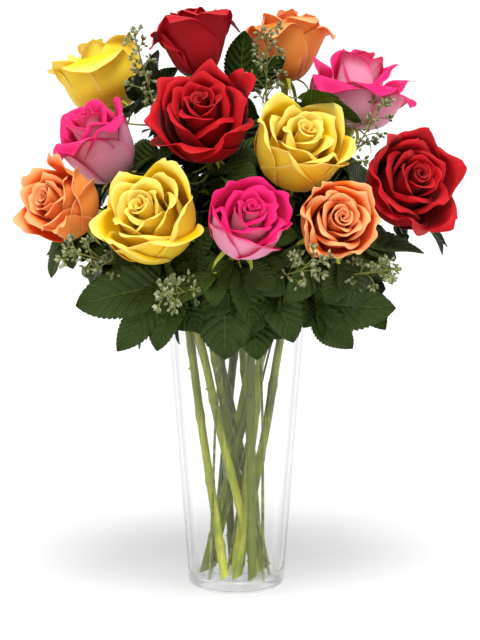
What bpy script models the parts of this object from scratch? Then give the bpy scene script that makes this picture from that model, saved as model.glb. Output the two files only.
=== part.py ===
"""Twelve long-stemmed roses, their leaves and sprigs of seeded eucalyptus in a clear glass vase.

Metres, +Z up. The origin is the centre of the vase's underside and -Y is the bouquet's front.
Everything in the vase is placed by shares of the vase's inside. Everything above its mouth is
placed in bloom widths from the centre of the mouth, so the bouquet keeps its shape at any size.
"""
import math
from collections import namedtuple

import bmesh
import bpy
from mathutils import Matrix, Vector

# Vase: a straight taper with a thick floor and a rounded heel.
VASE_HEIGHT = 0.240
VASE_MOUTH_RADIUS = 0.0565
VASE_FOOT_RADIUS = 0.038
VASE_WALL = 0.0035
VASE_FLOOR = 0.008
VASE_HEEL = 0.006
VASE_SIDES = 48

# Roses.
STEM_DIAMETER = 0.006
BLOOM_WIDTH = 0.070
BLOOM_HEIGHT = 0.058
HIP_DIAMETER = 0.009
HIP_LENGTH = 0.009
SEPAL_LENGTH = 0.013

# Foliage.
LEAF_LENGTH = 0.055
LEAF_WIDTH = 0.034
LEAF_THICKNESS = 0.001
PETIOLE_DIAMETER = 0.002
TWIG_DIAMETER = 0.0026
CLUSTER_DIAMETER = 0.013
CLUSTER_LENGTH = 0.046

GAP = 0.0005        # left between pieces that touch

GLASS = ("clear_glass", (0.86, 0.89, 0.89), 0.05)
STEM_GREEN = ("stem_green", (0.23, 0.26, 0.06), 0.5)
LEAF_GREEN = ("leaf_green", (0.06, 0.10, 0.02), 0.55)
SEED_GREEN = ("seed_green", (0.12, 0.13, 0.04), 0.6)
PETAL_COLOURS = {
    "red": (0.40, 0.006, 0.012),
    "yellow": (0.88, 0.62, 0.10),
    "orange": (0.85, 0.16, 0.03),
    "pink": (0.78, 0.20, 0.32),
}

# place: the bloom's centre, in bloom widths from the mouth's centre. faces: the way it opens.
# width, height: shares of the driving bloom. foot, mouth: X and Y of the stem at the floor and
# at the mouth, as shares of the room that it has there.
Rose = namedtuple("Rose", "name colour place faces width height foot mouth")
ROSES = [
    Rose("orange_left", "orange", (-1.94, -0.71, 1.05), (-0.62, -0.68, 0.38), 0.91, 0.86,
         (0.60, -0.45), (-0.80, -0.45)),
    Rose("pink_left", "pink", (-1.57, 0.14, 1.67), (-0.45, -0.30, 0.84), 1.03, 1.07,
         (-0.30, -0.90), (-0.90, 0.15)),
    Rose("yellow_top_left", "yellow", (-1.57, 1.07, 2.40), (-0.30, 0.35, 0.88), 1.03, 1.03,
         (0.90, 0.40), (-0.60, 0.60)),
    Rose("red_top", "red", (-0.46, 0.29, 2.82), (-0.10, 0.20, 0.97), 0.99, 0.97,
         (0.70, 0.00), (0.00, 0.65)),
    Rose("orange_top", "orange", (0.59, 1.00, 2.76), (0.05, 0.22, 0.97), 1.03, 1.00,
         (-0.65, 0.75), (0.10, 0.80)),
    Rose("pink_top_right", "pink", (1.39, 0.43, 2.28), (0.20, 0.10, 0.97), 1.06, 1.10,
         (-0.75, 0.20), (0.55, 0.30)),
    Rose("red_right", "red", (1.92, -0.43, 1.27), (0.36, -0.85, 0.38), 1.09, 1.00,
         (0.00, -0.90), (0.90, -0.15)),
    Rose("orange_low_right", "orange", (1.09, -1.31, 0.93), (0.22, -0.93, 0.28), 0.89, 0.79,
         (-0.05, 0.00), (0.55, -0.65)),
    Rose("pink_low_centre", "pink", (0.12, -1.51, 0.94), (0.20, -0.76, 0.62), 0.89, 0.86,
         (0.45, -0.90), (0.20, -0.90)),
    Rose("yellow_low_left", "yellow", (-0.93, -1.21, 0.94), (-0.33, -0.76, 0.56), 1.11, 1.00,
         (0.55, 0.85), (-0.55, -0.70)),
    Rose("yellow_right_centre", "yellow", (0.69, -0.83, 1.69), (0.25, -0.70, 0.67), 1.09, 1.00,
         (-0.95, -0.15), (0.65, -0.30)),
    Rose("red_centre", "red", (-0.36, -0.71, 2.01), (-0.10, -0.76, 0.64), 1.09, 1.00,
         (-0.10, 1.00), (-0.30, 0.05)),
]

# end: where the twig's seed clusters start, in bloom widths from the mouth's centre.
Sprig = namedtuple("Sprig", "name end foot mouth")
SPRIGS = [
    Sprig("left", (-1.37, -0.86, 0.43), (0.45, 0.30), (-0.90, -0.20)),
    Sprig("front_left", (-0.50, -1.29, 0.17), (-0.70, -0.70), (-0.25, -0.85)),
    Sprig("front_right", (0.60, -1.20, 0.35), (0.70, -0.70), (0.40, -0.80)),
    Sprig("right", (1.25, -0.90, 0.30), (-0.70, -0.05), (0.80, -0.30)),
    Sprig("top_left", (-0.96, 0.14, 2.21), (0.90, -0.30), (-0.50, 0.10)),
    Sprig("top_right", (0.34, 0.14, 2.26), (0.20, 0.90), (0.40, 0.50)),
    Sprig("mid_right", (1.31, -0.07, 1.56), (-0.25, 0.00), (0.65, 0.05)),
]

# root: where the petiole starts, in bloom widths from the mouth's centre. points: the way the
# leaf grows. length, width: shares of the driving leaf. roll: degrees about its midrib.
Leaf = namedtuple("Leaf", "name root points length width roll")
LEAVES = [
    Leaf("low_left", (-0.80, -0.85, 0.14), (-0.95, -0.20, -0.12), 1.30, 1.15, 0),
    Leaf("front_left", (-0.58, -0.85, 0.10), (-0.45, -0.45, -0.75), 0.95, 1.00, 0),
    Leaf("front_centre", (-0.10, -0.92, 0.16), (-0.05, -0.40, -0.90), 1.05, 1.25, 0),
    Leaf("front_right", (0.35, -0.90, 0.10), (0.40, -0.50, -0.60), 0.85, 0.95, 0),
    Leaf("low_right", (0.85, -0.55, -0.05), (0.90, -0.25, -0.05), 1.20, 1.10, 0),
    Leaf("right", (1.25, -0.35, 0.45), (0.95, -0.20, 0.10), 1.10, 1.00, 0),
    Leaf("left", (-1.25, 0.00, 0.50), (-0.95, 0.05, 0.05), 1.10, 1.05, 0),
    Leaf("centre_left", (-0.42, -0.60, 1.10), (0.00, -0.75, 0.40), 0.85, 0.90, 0),
    Leaf("centre", (0.05, -0.60, 1.15), (0.00, -0.80, 0.30), 0.95, 0.90, 0),
    Leaf("top_left", (-0.95, 0.55, 2.10), (0.00, -0.10, 0.95), 0.90, 0.80, 0),
    Leaf("top_centre", (0.05, 0.55, 2.20), (0.05, -0.10, 0.95), 0.95, 0.80, 0),
    Leaf("upper_right", (0.85, -0.30, 1.90), (0.50, -0.60, 0.40), 0.90, 0.85, 0),
    Leaf("back_left", (-0.60, 0.75, 0.75), (-0.50, 0.80, 0.20), 1.30, 1.15, 0),
    Leaf("back_right", (0.65, 0.75, 0.75), (0.50, 0.80, 0.20), 1.30, 1.15, 0),
    Leaf("back_low", (0.00, 0.80, 0.30), (0.00, 0.90, -0.20), 1.25, 1.15, 0),
    Leaf("back_top", (0.05, 0.95, 1.40), (-0.10, 0.80, 0.60), 1.20, 1.10, 0),
]

BLOOM_SIDES = 20
BLOOM_RINGS = 9
BLOOM_LOBES = 5
CALYX_SIDES = 20
CALYX_RINGS = 6
LEAF_STEPS = 7
LEAF_STRIPS = 4
BEND_STEPS = 7
CLUSTERS = 4
CLUSTER_OUTLINE = ((0.25, 0.75), (0.60, 1.00), (1.00, 0.35))    # step along, share of width
CLUSTER_TAPER = 0.35

MOUTH_CENTRE = Vector((0, 0, VASE_HEIGHT))


def start_scene():
    """Clear the scene and return the part's collection."""
    for old in list(bpy.data.objects):
        bpy.data.objects.remove(old)
    collection = bpy.data.collections.new("roses_in_vase")
    bpy.context.scene.collection.children.link(collection)
    return collection


def make_material(name, colour, roughness):
    """Return the Principled material of that name, making it the first time."""
    material = bpy.data.materials.get(name)
    if material is None:
        material = bpy.data.materials.new(name)
        material.use_nodes = True
        shader = material.node_tree.nodes["Principled BSDF"]
        shader.inputs["Base Color"].default_value = (*colour, 1)
        shader.inputs["Roughness"].default_value = roughness
        shader.inputs["Metallic"].default_value = 0.0
        material.diffuse_color = (*colour, 1)
    return material


def add_object(name, data, material):
    """Link mesh or curve data into the part's collection under a name."""
    data.materials.append(make_material(*material))
    thing = bpy.data.objects.new(name, data)
    COLLECTION.objects.link(thing)
    return thing


def mesh_from(name, bm):
    """Turn a bmesh into shaded mesh data."""
    mesh = bpy.data.meshes.new(name)
    bm.to_mesh(mesh)
    bm.free()
    mesh.shade_smooth()
    return mesh


def vase_radius(height):
    """Radius of the vase's outer wall at a height."""
    return VASE_FOOT_RADIUS + (VASE_MOUTH_RADIUS - VASE_FOOT_RADIUS) * height / VASE_HEIGHT


def in_dome(place):
    """World point of a place given in bloom widths from the mouth's centre."""
    return MOUTH_CENTRE + Vector(place) * BLOOM_WIDTH


def make_vase():
    """Turn the glass: up the inside from the floor, over the rim and down to the heel."""
    wall = VASE_WALL
    corner = wall
    points = [(0, VASE_FLOOR), (vase_radius(VASE_FLOOR) - wall - corner, VASE_FLOOR),
              (vase_radius(VASE_FLOOR + corner) - wall, VASE_FLOOR + corner),
              (VASE_MOUTH_RADIUS - wall, VASE_HEIGHT - wall / 4),
              (VASE_MOUTH_RADIUS - wall * 0.75, VASE_HEIGHT),
              (VASE_MOUTH_RADIUS - wall / 4, VASE_HEIGHT),
              (VASE_MOUTH_RADIUS, VASE_HEIGHT - wall / 4)]
    heel_centre = vase_radius(VASE_HEEL) - VASE_HEEL
    for turn in (0, 30, 60, 90):
        angle = math.radians(turn)
        points.append((heel_centre + VASE_HEEL * math.cos(angle),
                       VASE_HEEL - VASE_HEEL * math.sin(angle)))
    points.append((0, 0))
    mesh = bpy.data.meshes.new("vase")
    mesh.from_pydata([(x, 0, z) for x, z in points],
                     [(i, i + 1) for i in range(len(points) - 1)], [])
    vase = add_object("vase", mesh, GLASS)
    screw = vase.modifiers.new("turn", "SCREW")
    screw.axis = "Z"
    screw.steps = screw.render_steps = VASE_SIDES
    screw.use_merge_vertices = True
    screw.merge_threshold = 0.00001


def bend(start, start_way, end, end_way):
    """Points on a smooth bend from start to end, leaving and arriving the given ways."""
    reach = (end - start).length
    first = start + start_way * reach * 0.40
    second = end - end_way * reach * 0.35
    points = []
    for step in range(1, BEND_STEPS + 1):
        t = step / BEND_STEPS
        points.append(start * (1 - t) ** 3 + first * 3 * (1 - t) ** 2 * t
                      + second * 3 * (1 - t) * t ** 2 + end * t ** 3)
    return points


def vase_run(foot, mouth, diameter):
    """Ends of a stem's straight run from the vase's floor to its mouth."""
    radius = diameter / 2
    corner = VASE_WALL
    floor_room = vase_radius(VASE_FLOOR) - VASE_WALL - corner - radius - GAP
    mouth_room = VASE_MOUTH_RADIUS - VASE_WALL - radius - GAP
    low = Vector((foot[0] * floor_room, foot[1] * floor_room, 0))
    high = Vector((mouth[0] * mouth_room, mouth[1] * mouth_room, VASE_HEIGHT))
    tilt = (high - low).normalized().z
    low.z = VASE_FLOOR + GAP + radius * math.sqrt(1 - tilt * tilt)
    return low, high


def add_tube(name, points, diameter, swell, material):
    """Tube along points; swell gives each point's share of the diameter."""
    curve = bpy.data.curves.new(name, "CURVE")
    curve.dimensions = "3D"
    curve.bevel_depth = diameter / 2
    curve.bevel_resolution = 2
    curve.use_fill_caps = True
    spline = curve.splines.new("POLY")
    spline.points.add(len(points) - 1)
    for point, place, share in zip(spline.points, points, swell):
        point.co = (*place, 1)
        point.radius = share
    return add_object(name, curve, material)


def rose_stations(rose):
    """Places along a rose's axis: bloom base, hip base and the axis itself."""
    axis = Vector(rose.faces).normalized()
    base = in_dome(rose.place) - axis * BLOOM_HEIGHT * rose.height / 2
    hip_base = base - axis * (GAP + HIP_LENGTH)
    return base, hip_base, axis


def make_stem(rose):
    """Stem from the vase's floor to just under the hip."""
    base, hip_base, axis = rose_stations(rose)
    low, high = vase_run(rose.foot, rose.mouth, STEM_DIAMETER)
    way = (high - low).normalized()
    points = [low, low.lerp(high, 0.5), high]
    points += bend(high, way, hip_base - axis * GAP, axis)
    add_tube("stem_" + rose.name, points, STEM_DIAMETER, [1] * len(points), STEM_GREEN)


def place_along(mesh, base, axis):
    """Stand a mesh made on +Z on a base point, pointing along an axis."""
    turn = Vector((0, 0, 1)).rotation_difference(axis)
    mesh.transform(Matrix.Translation(base) @ turn.to_matrix().to_4x4())


def make_calyx(rose):
    """Hip with five reflexed sepals: rings of a sphere, one of them drawn out into a star."""
    base, hip_base, axis = rose_stations(rose)
    hip = HIP_DIAMETER / 2
    bm = bmesh.new()
    bmesh.ops.create_uvsphere(bm, u_segments=CALYX_SIDES, v_segments=CALYX_RINGS, radius=1)
    for vert in bm.verts:
        ring = round(math.acos(max(-1, min(1, -vert.co.z))) / math.pi * CALYX_RINGS)
        angle = math.atan2(vert.co.y, vert.co.x)
        sepal = max(0, math.cos(BLOOM_LOBES * angle)) ** 2
        outline = [(0, -1), (hip * 0.6, -0.9), (hip, -0.5), (hip * 0.85, -0.18),
                   (hip * 1.1 + SEPAL_LENGTH * sepal, -0.12 - 0.6 * sepal),
                   (hip * 0.7, 0), (0, 0)]
        radius, height = outline[ring]
        vert.co = (radius * math.cos(angle), radius * math.sin(angle), height * HIP_LENGTH)
    mesh = mesh_from("calyx_" + rose.name, bm)
    place_along(mesh, base - axis * GAP, axis)
    add_object("calyx_" + rose.name, mesh, STEM_GREEN)


def make_bloom(rose):
    """Closed cup of a bloom: a lobed, twisted sphere, narrow below and full at the rim."""
    base, hip_base, axis = rose_stations(rose)
    half_width = BLOOM_WIDTH * rose.width / 2
    height = BLOOM_HEIGHT * rose.height
    bm = bmesh.new()
    bmesh.ops.create_uvsphere(bm, u_segments=BLOOM_SIDES, v_segments=BLOOM_RINGS, radius=1)
    for vert in bm.verts:
        rise = math.acos(max(-1, min(1, -vert.co.z))) / math.pi
        angle = math.atan2(vert.co.y, vert.co.x)
        level = (1 - math.cos(math.pi * rise)) / 2
        lobe = (BLOOM_LOBES * (angle / (2 * math.pi) + 0.25 * level)) % 1
        radius = half_width * math.sin(math.pi * rise) ** 0.75 * (0.72 + 0.28 * level)
        radius *= 1.04 - 0.08 * lobe
        vert.co = (radius * math.cos(angle), radius * math.sin(angle), height * level ** 0.9)
    mesh = mesh_from("bloom_" + rose.name, bm)
    place_along(mesh, base, axis)
    colour = PETAL_COLOURS[rose.colour]
    add_object("bloom_" + rose.name, mesh, ("petals_" + rose.colour, colour, 0.6))


def make_leaf(leaf):
    """Blade on a short petiole, folded along its midrib and arched along its length."""
    root = in_dome(leaf.root)
    along = Vector(leaf.points).normalized()
    outward = (root + along * LEAF_LENGTH * leaf.length - MOUTH_CENTRE).normalized()
    across = along.cross(outward).normalized()
    across.rotate(Matrix.Rotation(math.radians(leaf.roll), 3, along))
    face = across.cross(along)
    length = LEAF_LENGTH * leaf.length
    half_width = LEAF_WIDTH * leaf.width / 2
    petiole = PETIOLE_DIAMETER / 2
    bm = bmesh.new()
    bmesh.ops.create_grid(bm, x_segments=LEAF_STEPS, y_segments=LEAF_STRIPS, size=1)
    for vert in bm.verts:
        share = (vert.co.x + 1) / 2
        blade = max(0, (share - 0.15) / 0.85)
        spread = max(petiole, half_width * math.sin(math.pi * blade ** 0.8) ** 0.8)
        side = vert.co.y * spread
        lift = abs(side) * 0.25 + length * 0.10 * math.sin(math.pi * share)
        vert.co = root + along * length * share + across * side + face * lift
    mesh = mesh_from("leaf_" + leaf.name, bm)
    blade = add_object("leaf_" + leaf.name, mesh, LEAF_GREEN)
    shell = blade.modifiers.new("thickness", "SOLIDIFY")
    shell.thickness = LEAF_THICKNESS
    shell.offset = 0


def make_sprig(sprig):
    """Twig from the vase's floor that ends in a run of seed clusters."""
    end = in_dome(sprig.end)
    low, high = vase_run(sprig.foot, sprig.mouth, TWIG_DIAMETER)
    way = (high - low).normalized()
    settle = (end - high + Vector((0, 0, -0.01))).normalized()
    points = [low, low.lerp(high, 0.5), high] + bend(high, way, end, settle)
    swell = [1] * len(points)
    full = CLUSTER_DIAMETER / TWIG_DIAMETER
    for cluster in range(CLUSTERS):
        for share, size in CLUSTER_OUTLINE:
            step = (cluster + share) / CLUSTERS
            points.append(end + settle * CLUSTER_LENGTH * step)
            swell.append(full * size * (1 - CLUSTER_TAPER * step))
    add_tube("sprig_" + sprig.name, points, TWIG_DIAMETER, swell, SEED_GREEN)


COLLECTION = start_scene()
make_vase()
for rose in ROSES:
    make_stem(rose)
    make_calyx(rose)
    make_bloom(rose)
for leaf in LEAVES:
    make_leaf(leaf)
for sprig in SPRIGS:
    make_sprig(sprig)
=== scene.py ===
"""Roses in a vase: the looks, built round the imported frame.

Twelve roses, their leaves and seven sprigs of seeded eucalyptus stand in a tall clear glass vase.
Each class makes one kind of piece, in metres and in the frame's own axes: +Z up, -Y to the front.
Places come from the CAD nodes, so every piece lies where its solid does.
"""

import logging
import math
from dataclasses import dataclass, field, replace
from enum import Enum
from typing import Any, Iterator, Sequence

import bpy
import numpy as np
from mathutils import Matrix, Vector


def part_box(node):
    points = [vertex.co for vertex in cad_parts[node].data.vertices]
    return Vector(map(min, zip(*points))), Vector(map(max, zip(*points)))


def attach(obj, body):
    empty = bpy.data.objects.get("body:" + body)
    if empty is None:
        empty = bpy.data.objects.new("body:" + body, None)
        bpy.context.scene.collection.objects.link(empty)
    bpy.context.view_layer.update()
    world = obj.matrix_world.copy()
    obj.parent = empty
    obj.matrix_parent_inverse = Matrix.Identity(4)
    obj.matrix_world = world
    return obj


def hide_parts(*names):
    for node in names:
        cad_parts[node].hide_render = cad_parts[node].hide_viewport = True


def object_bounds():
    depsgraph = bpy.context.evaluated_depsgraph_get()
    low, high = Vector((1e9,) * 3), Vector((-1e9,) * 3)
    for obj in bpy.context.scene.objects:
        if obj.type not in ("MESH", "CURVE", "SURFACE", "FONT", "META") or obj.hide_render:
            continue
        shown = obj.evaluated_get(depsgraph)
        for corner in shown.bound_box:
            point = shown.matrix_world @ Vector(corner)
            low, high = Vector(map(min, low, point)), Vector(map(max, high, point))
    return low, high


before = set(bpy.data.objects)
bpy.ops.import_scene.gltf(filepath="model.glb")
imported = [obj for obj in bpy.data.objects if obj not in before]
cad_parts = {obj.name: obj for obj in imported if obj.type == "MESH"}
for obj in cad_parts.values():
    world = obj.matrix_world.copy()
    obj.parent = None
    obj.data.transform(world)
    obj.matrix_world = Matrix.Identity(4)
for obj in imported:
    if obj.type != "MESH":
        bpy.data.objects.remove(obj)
CAD_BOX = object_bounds()

LOG = logging.getLogger("roses")
MM = 0.001
BODY = "root"
GOLDEN_ANGLE = math.radians(137.508)
BOUQUET_HEART = Vector((0.0, 0.0, 0.29))
MOUTH_LEVEL = 0.240
WHITE = (1.0, 1.0, 1.0, 1.0)
Array = np.ndarray


def srgb(red: int, green: int, blue: int) -> tuple[float, float, float, float]:
    """Turns three display values from 0 to 255 into a linear colour.

    Args:
        red, green, blue: the display values.

    Returns:
        The colour, with full alpha.
    """
    linear = [v / 255 / 12.92 if v / 255 <= 0.04045 else ((v / 255 + 0.055) / 1.055) ** 2.4
              for v in (red, green, blue)]
    return (*linear, 1.0)


# ---------------------------------------------------------------- node trees


class Nodes:
    """A node tree that is written in Python."""

    def __init__(self, tree: bpy.types.NodeTree) -> None:
        """Keeps the tree that the nodes go in."""
        self.tree = tree

    def node(self, kind: str, settings: dict[str, Any] | None = None,
             inputs: dict[Any, Any] | None = None) -> Any:
        """Adds one node.

        Args:
            kind: the node's type.
            settings: its properties, set before its sockets.
            inputs: a number, colour, socket or Value for each input, by name or place.

        Returns:
            The node.
        """
        made = self.tree.nodes.new(kind)
        for name, value in (settings or {}).items():
            setattr(made, name, value)
        for key, value in (inputs or {}).items():
            if isinstance(value, Value):
                value = value.socket
            if isinstance(value, bpy.types.NodeSocket):
                self.tree.links.new(value, made.inputs[key])
            else:
                made.inputs[key].default_value = value
        return made


class Value:
    """A number in a tree: Python's operators on it add Math nodes."""

    def __init__(self, nodes: Nodes, socket: Any) -> None:
        """Keeps the tree and the socket that the number comes from."""
        self.nodes = nodes
        self.socket = socket

    def maths(self, operation: str, first: Any, second: Any = 0.0) -> "Value":
        """Adds one Math node and gives its result."""
        made = self.nodes.node("ShaderNodeMath", {"operation": operation}, {0: first, 1: second})
        return Value(self.nodes, made.outputs[0])

    def __add__(self, other: Any) -> "Value":
        """self + other."""
        return self.maths("ADD", self, other)

    def __sub__(self, other: Any) -> "Value":
        """self - other."""
        return self.maths("SUBTRACT", self, other)

    def __rsub__(self, other: Any) -> "Value":
        """other - self."""
        return self.maths("SUBTRACT", other, self)

    def __mul__(self, other: Any) -> "Value":
        """self * other."""
        return self.maths("MULTIPLY", self, other)

    def __abs__(self) -> "Value":
        """The size of self."""
        return self.maths("ABSOLUTE", self)

    def __mod__(self, other: float) -> "Value":
        """What is left of self after whole others, never negative."""
        return self.maths("FLOORED_MODULO", self, other)

    def __or__(self, other: Any) -> "Value":
        """The larger of self and other."""
        return self.maths("MAXIMUM", self, other)

    __radd__ = __add__
    __rmul__ = __mul__


class Shading(Nodes):
    """A material's tree."""

    def __init__(self, name: str) -> None:
        """Starts an empty material.

        Args:
            name: the material's name.
        """
        self.material = bpy.data.materials.new(name)
        self.material.use_nodes = True
        super().__init__(self.material.node_tree)
        self.tree.nodes.clear()

    def mark(self, name: str) -> Value:
        """A number that the mesh carries at its points."""
        made = self.node("ShaderNodeAttribute", {"attribute_name": name})
        return Value(self, made.outputs["Fac"])

    def place(self) -> Any:
        """The Object coordinates' socket."""
        return self.node("ShaderNodeTexCoord").outputs["Object"]

    def join(self, x: Any, y: Any, z: Any) -> Any:
        """A vector's socket, from three numbers."""
        return self.node("ShaderNodeCombineXYZ", None, {0: x, 1: y, 2: z}).outputs[0]

    def noise(self, scale: float, where: Any, detail: float = 3.0) -> Value:
        """Adds a noise from 0 to 1 over a vector.

        Args:
            scale: how fine it is.
            where: the vector.
            detail: how many finer noises lie in it.

        Returns:
            The noise.
        """
        made = self.node("ShaderNodeTexNoise", None,
                         {"Vector": where, "Scale": scale, "Detail": detail})
        return Value(self, made.outputs[0])

    def ease(self, value: Any, low: float, high: float, start: float = 0.0,
             end: float = 1.0) -> Value:
        """A smooth step of a number.

        Args:
            value: the number.
            low, high: where the step begins and ends.
            start, end: what it gives before and after.

        Returns:
            The eased number.
        """
        made = self.node("ShaderNodeMapRange", {"interpolation_type": "SMOOTHSTEP"},
                         {0: value, 1: low, 2: high, 3: start, 4: end})
        return Value(self, made.outputs[0])

    def blend(self, share: Any, first: Any, second: Any) -> Any:
        """Mixes two colours.

        Args:
            share: how much of the second colour.
            first, second: the colours.

        Returns:
            The mixed colour's socket.
        """
        return self.node("ShaderNodeMix", {"data_type": "RGBA"},
                         {0: share, 6: first, 7: second}).outputs[2]

    def bump(self, height: Any, depth: float) -> Any:
        """A bent normal's socket, from a height of a given depth in metres."""
        return self.node("ShaderNodeBump", None,
                         {"Height": height, "Distance": depth, "Strength": 1.0}).outputs[0]

    def streaks(self, stretch: tuple[float, float, float], detail: float) -> Value:
        """A noise over the Object coordinates, drawn out along one of them."""
        where = self.node("ShaderNodeMapping", None, {"Vector": self.place(), "Scale": stretch})
        return self.noise(1.0, where.outputs[0], detail)

    def skin(self, **inputs: Any) -> Any:
        """A Principled shader's socket, from its inputs with underscores for spaces."""
        named = {name.replace("_", " "): value for name, value in inputs.items()}
        return self.node("ShaderNodeBsdfPrincipled", None, named).outputs[0]

    def pierce(self, share: Any, front: Any, kind: str, colour: tuple) -> Any:
        """Mixes a Translucent or a Transparent shader into another.

        Args:
            share: how much of it.
            front: the other shader's socket.
            kind: Translucent or Transparent.
            colour: its colour.

        Returns:
            The mixed shader's socket.
        """
        back = self.node(f"ShaderNodeBsdf{kind}", None, {"Color": colour})
        return self.node("ShaderNodeMixShader", None,
                         {0: share, 1: front, 2: back.outputs[0]}).outputs[0]

    def finish(self, shader: Any) -> bpy.types.Material:
        """Puts a shader on the surface and gives the material."""
        self.node("ShaderNodeOutputMaterial", None, {"Surface": shader})
        return self.material


# ---------------------------------------------------------------- finishes


@dataclass(frozen=True)
class PetalFinish:
    """Velvety or satin rose petals.

    Attributes:
        deep_and_shade: colour in the throat, near the claw and of the innermost petals; partly the
            petals' own deeper colour, partly painted shade deep in the bloom.
        face: colour of the inner face.
        outside: colour of the outer face.
        foot: colour of the outer face near the claw.
        rim: colour of the margin, partly the petal's own edge colour and partly a painted highlight
            on the rolled edges.
        shade: colour that some petals lean towards.
        glow: colour of the light that comes through a petal.
        fibres, relief: how many fibres lie across a half, and the depth of the bump in metres.
        through: share of light that comes through.
        sheen: strength of the velvet.
        roughness: how matte the face is.
        rim_start: where the margin's colour begins, as a share of the length.
    """

    name: str
    deep_and_shade: tuple
    face: tuple
    outside: tuple
    foot: tuple
    rim: tuple
    shade: tuple
    glow: tuple
    fibres: float = 26.0
    relief: float = 0.25 * MM
    through: float = 0.20
    sheen: float = 0.05
    roughness: float = 0.55
    rim_start: float = 0.86

    def make(self) -> bpy.types.Material:
        """Builds the material from the petals' own marks.

        Returns:
            The material.
        """
        s = Shading(self.name)
        along, across = s.mark("along"), s.mark("across")
        outer, tone, reach = s.mark("outer"), s.mark("tone"), s.mark("reach")
        fibre = s.noise(1.0, s.join(across * self.fibres, along * 2.2, tone * 40.0), 4.0)
        cloud = s.noise(1.0, s.join(across * 1.6, along * 2.4, tone * 90.0), 2.0)
        # Towards the claw the face turns to the deep colour: partly the petal's own deeper base,
        # partly painted shade in the throat.
        inner = s.blend(s.ease(along + fibre * 0.10, 0.30, 0.88), self.deep_and_shade, self.face)
        cover = s.blend(s.ease(along + cloud * 0.20, 0.15, 0.80), self.foot, self.outside)
        inner = s.blend(s.ease(tone + cloud * 0.5, 0.75, 1.35, 0.0, 0.75), inner, self.shade)
        colour = s.blend(outer, inner, cover)
        # The margin turns to the rim colour: partly the petal's own edge colour, partly a painted
        # highlight where the rolled edges catch the light.
        margin = s.ease(along + fibre * 0.05, self.rim_start, 1.02) | s.ease(
            abs(across) + fibre * 0.08, 0.88, 1.06, 0.0, 0.8)
        colour = s.blend(margin * 0.85, colour, self.rim)
        # The innermost petals lean to the deep colour: painted shade in the heart of the bloom,
        # where the petals lie deep.
        colour = s.blend(s.ease(reach, 0.0, 0.35, 0.55, 0.0), colour, self.deep_and_shade)
        colour = s.blend((fibre - 0.5) * 0.22 | 0.0, colour, self.deep_and_shade)
        petal = s.skin(Base_Color=colour, Roughness=self.roughness + (cloud - 0.5) * 0.16,
                       Normal=s.bump(fibre * 0.6 + cloud * 0.4, self.relief),
                       Sheen_Weight=self.sheen, Sheen_Roughness=0.4, Specular_IOR_Level=0.18)
        return s.finish(s.pierce(self.through, petal, "Translucent", self.glow))


@dataclass(frozen=True)
class StemFinish:
    """Waxy green stems: lighter streaks along them, darker patches and brownish joints.

    Attributes:
        light, body, dark: colours of the streaks, of the skin and of the patches.
        node_tint: colour of the joints.
        stretch: how fine the streaks are along each axis.
        relief: depth of the bump in metres.
    """

    name: str = "stem_skin"
    light: tuple = srgb(228, 232, 110)
    body: tuple = srgb(174, 180, 50)
    dark: tuple = srgb(102, 114, 24)
    node_tint: tuple = srgb(128, 124, 54)
    stretch: tuple = (420.0, 420.0, 26.0)
    relief: float = 0.25 * MM

    def make(self) -> bpy.types.Material:
        """Builds the material from Object coordinates and the joints' mark.

        Returns:
            The material.
        """
        s = Shading(self.name)
        where = s.place()
        streak = s.streaks(self.stretch, 3.0)
        patch = s.noise(38.0, where, 3.0)
        grain = s.noise(900.0, where, 2.0)
        tone = s.mark("tone")
        colour = s.blend(s.ease(patch + tone * 0.5, 0.45, 0.95), self.body, self.dark)
        colour = s.blend(s.ease(streak - tone * 0.12, 0.48, 0.80, 0.0, 0.75), colour, self.light)
        colour = s.blend(s.mark("joint") * 0.6, colour, self.node_tint)
        return s.finish(s.skin(Base_Color=colour, Roughness=0.38 + (grain - 0.5) * 0.2,
                               Normal=s.bump(streak * 0.7 + grain * 0.3, self.relief),
                               Specular_IOR_Level=0.45))


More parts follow.
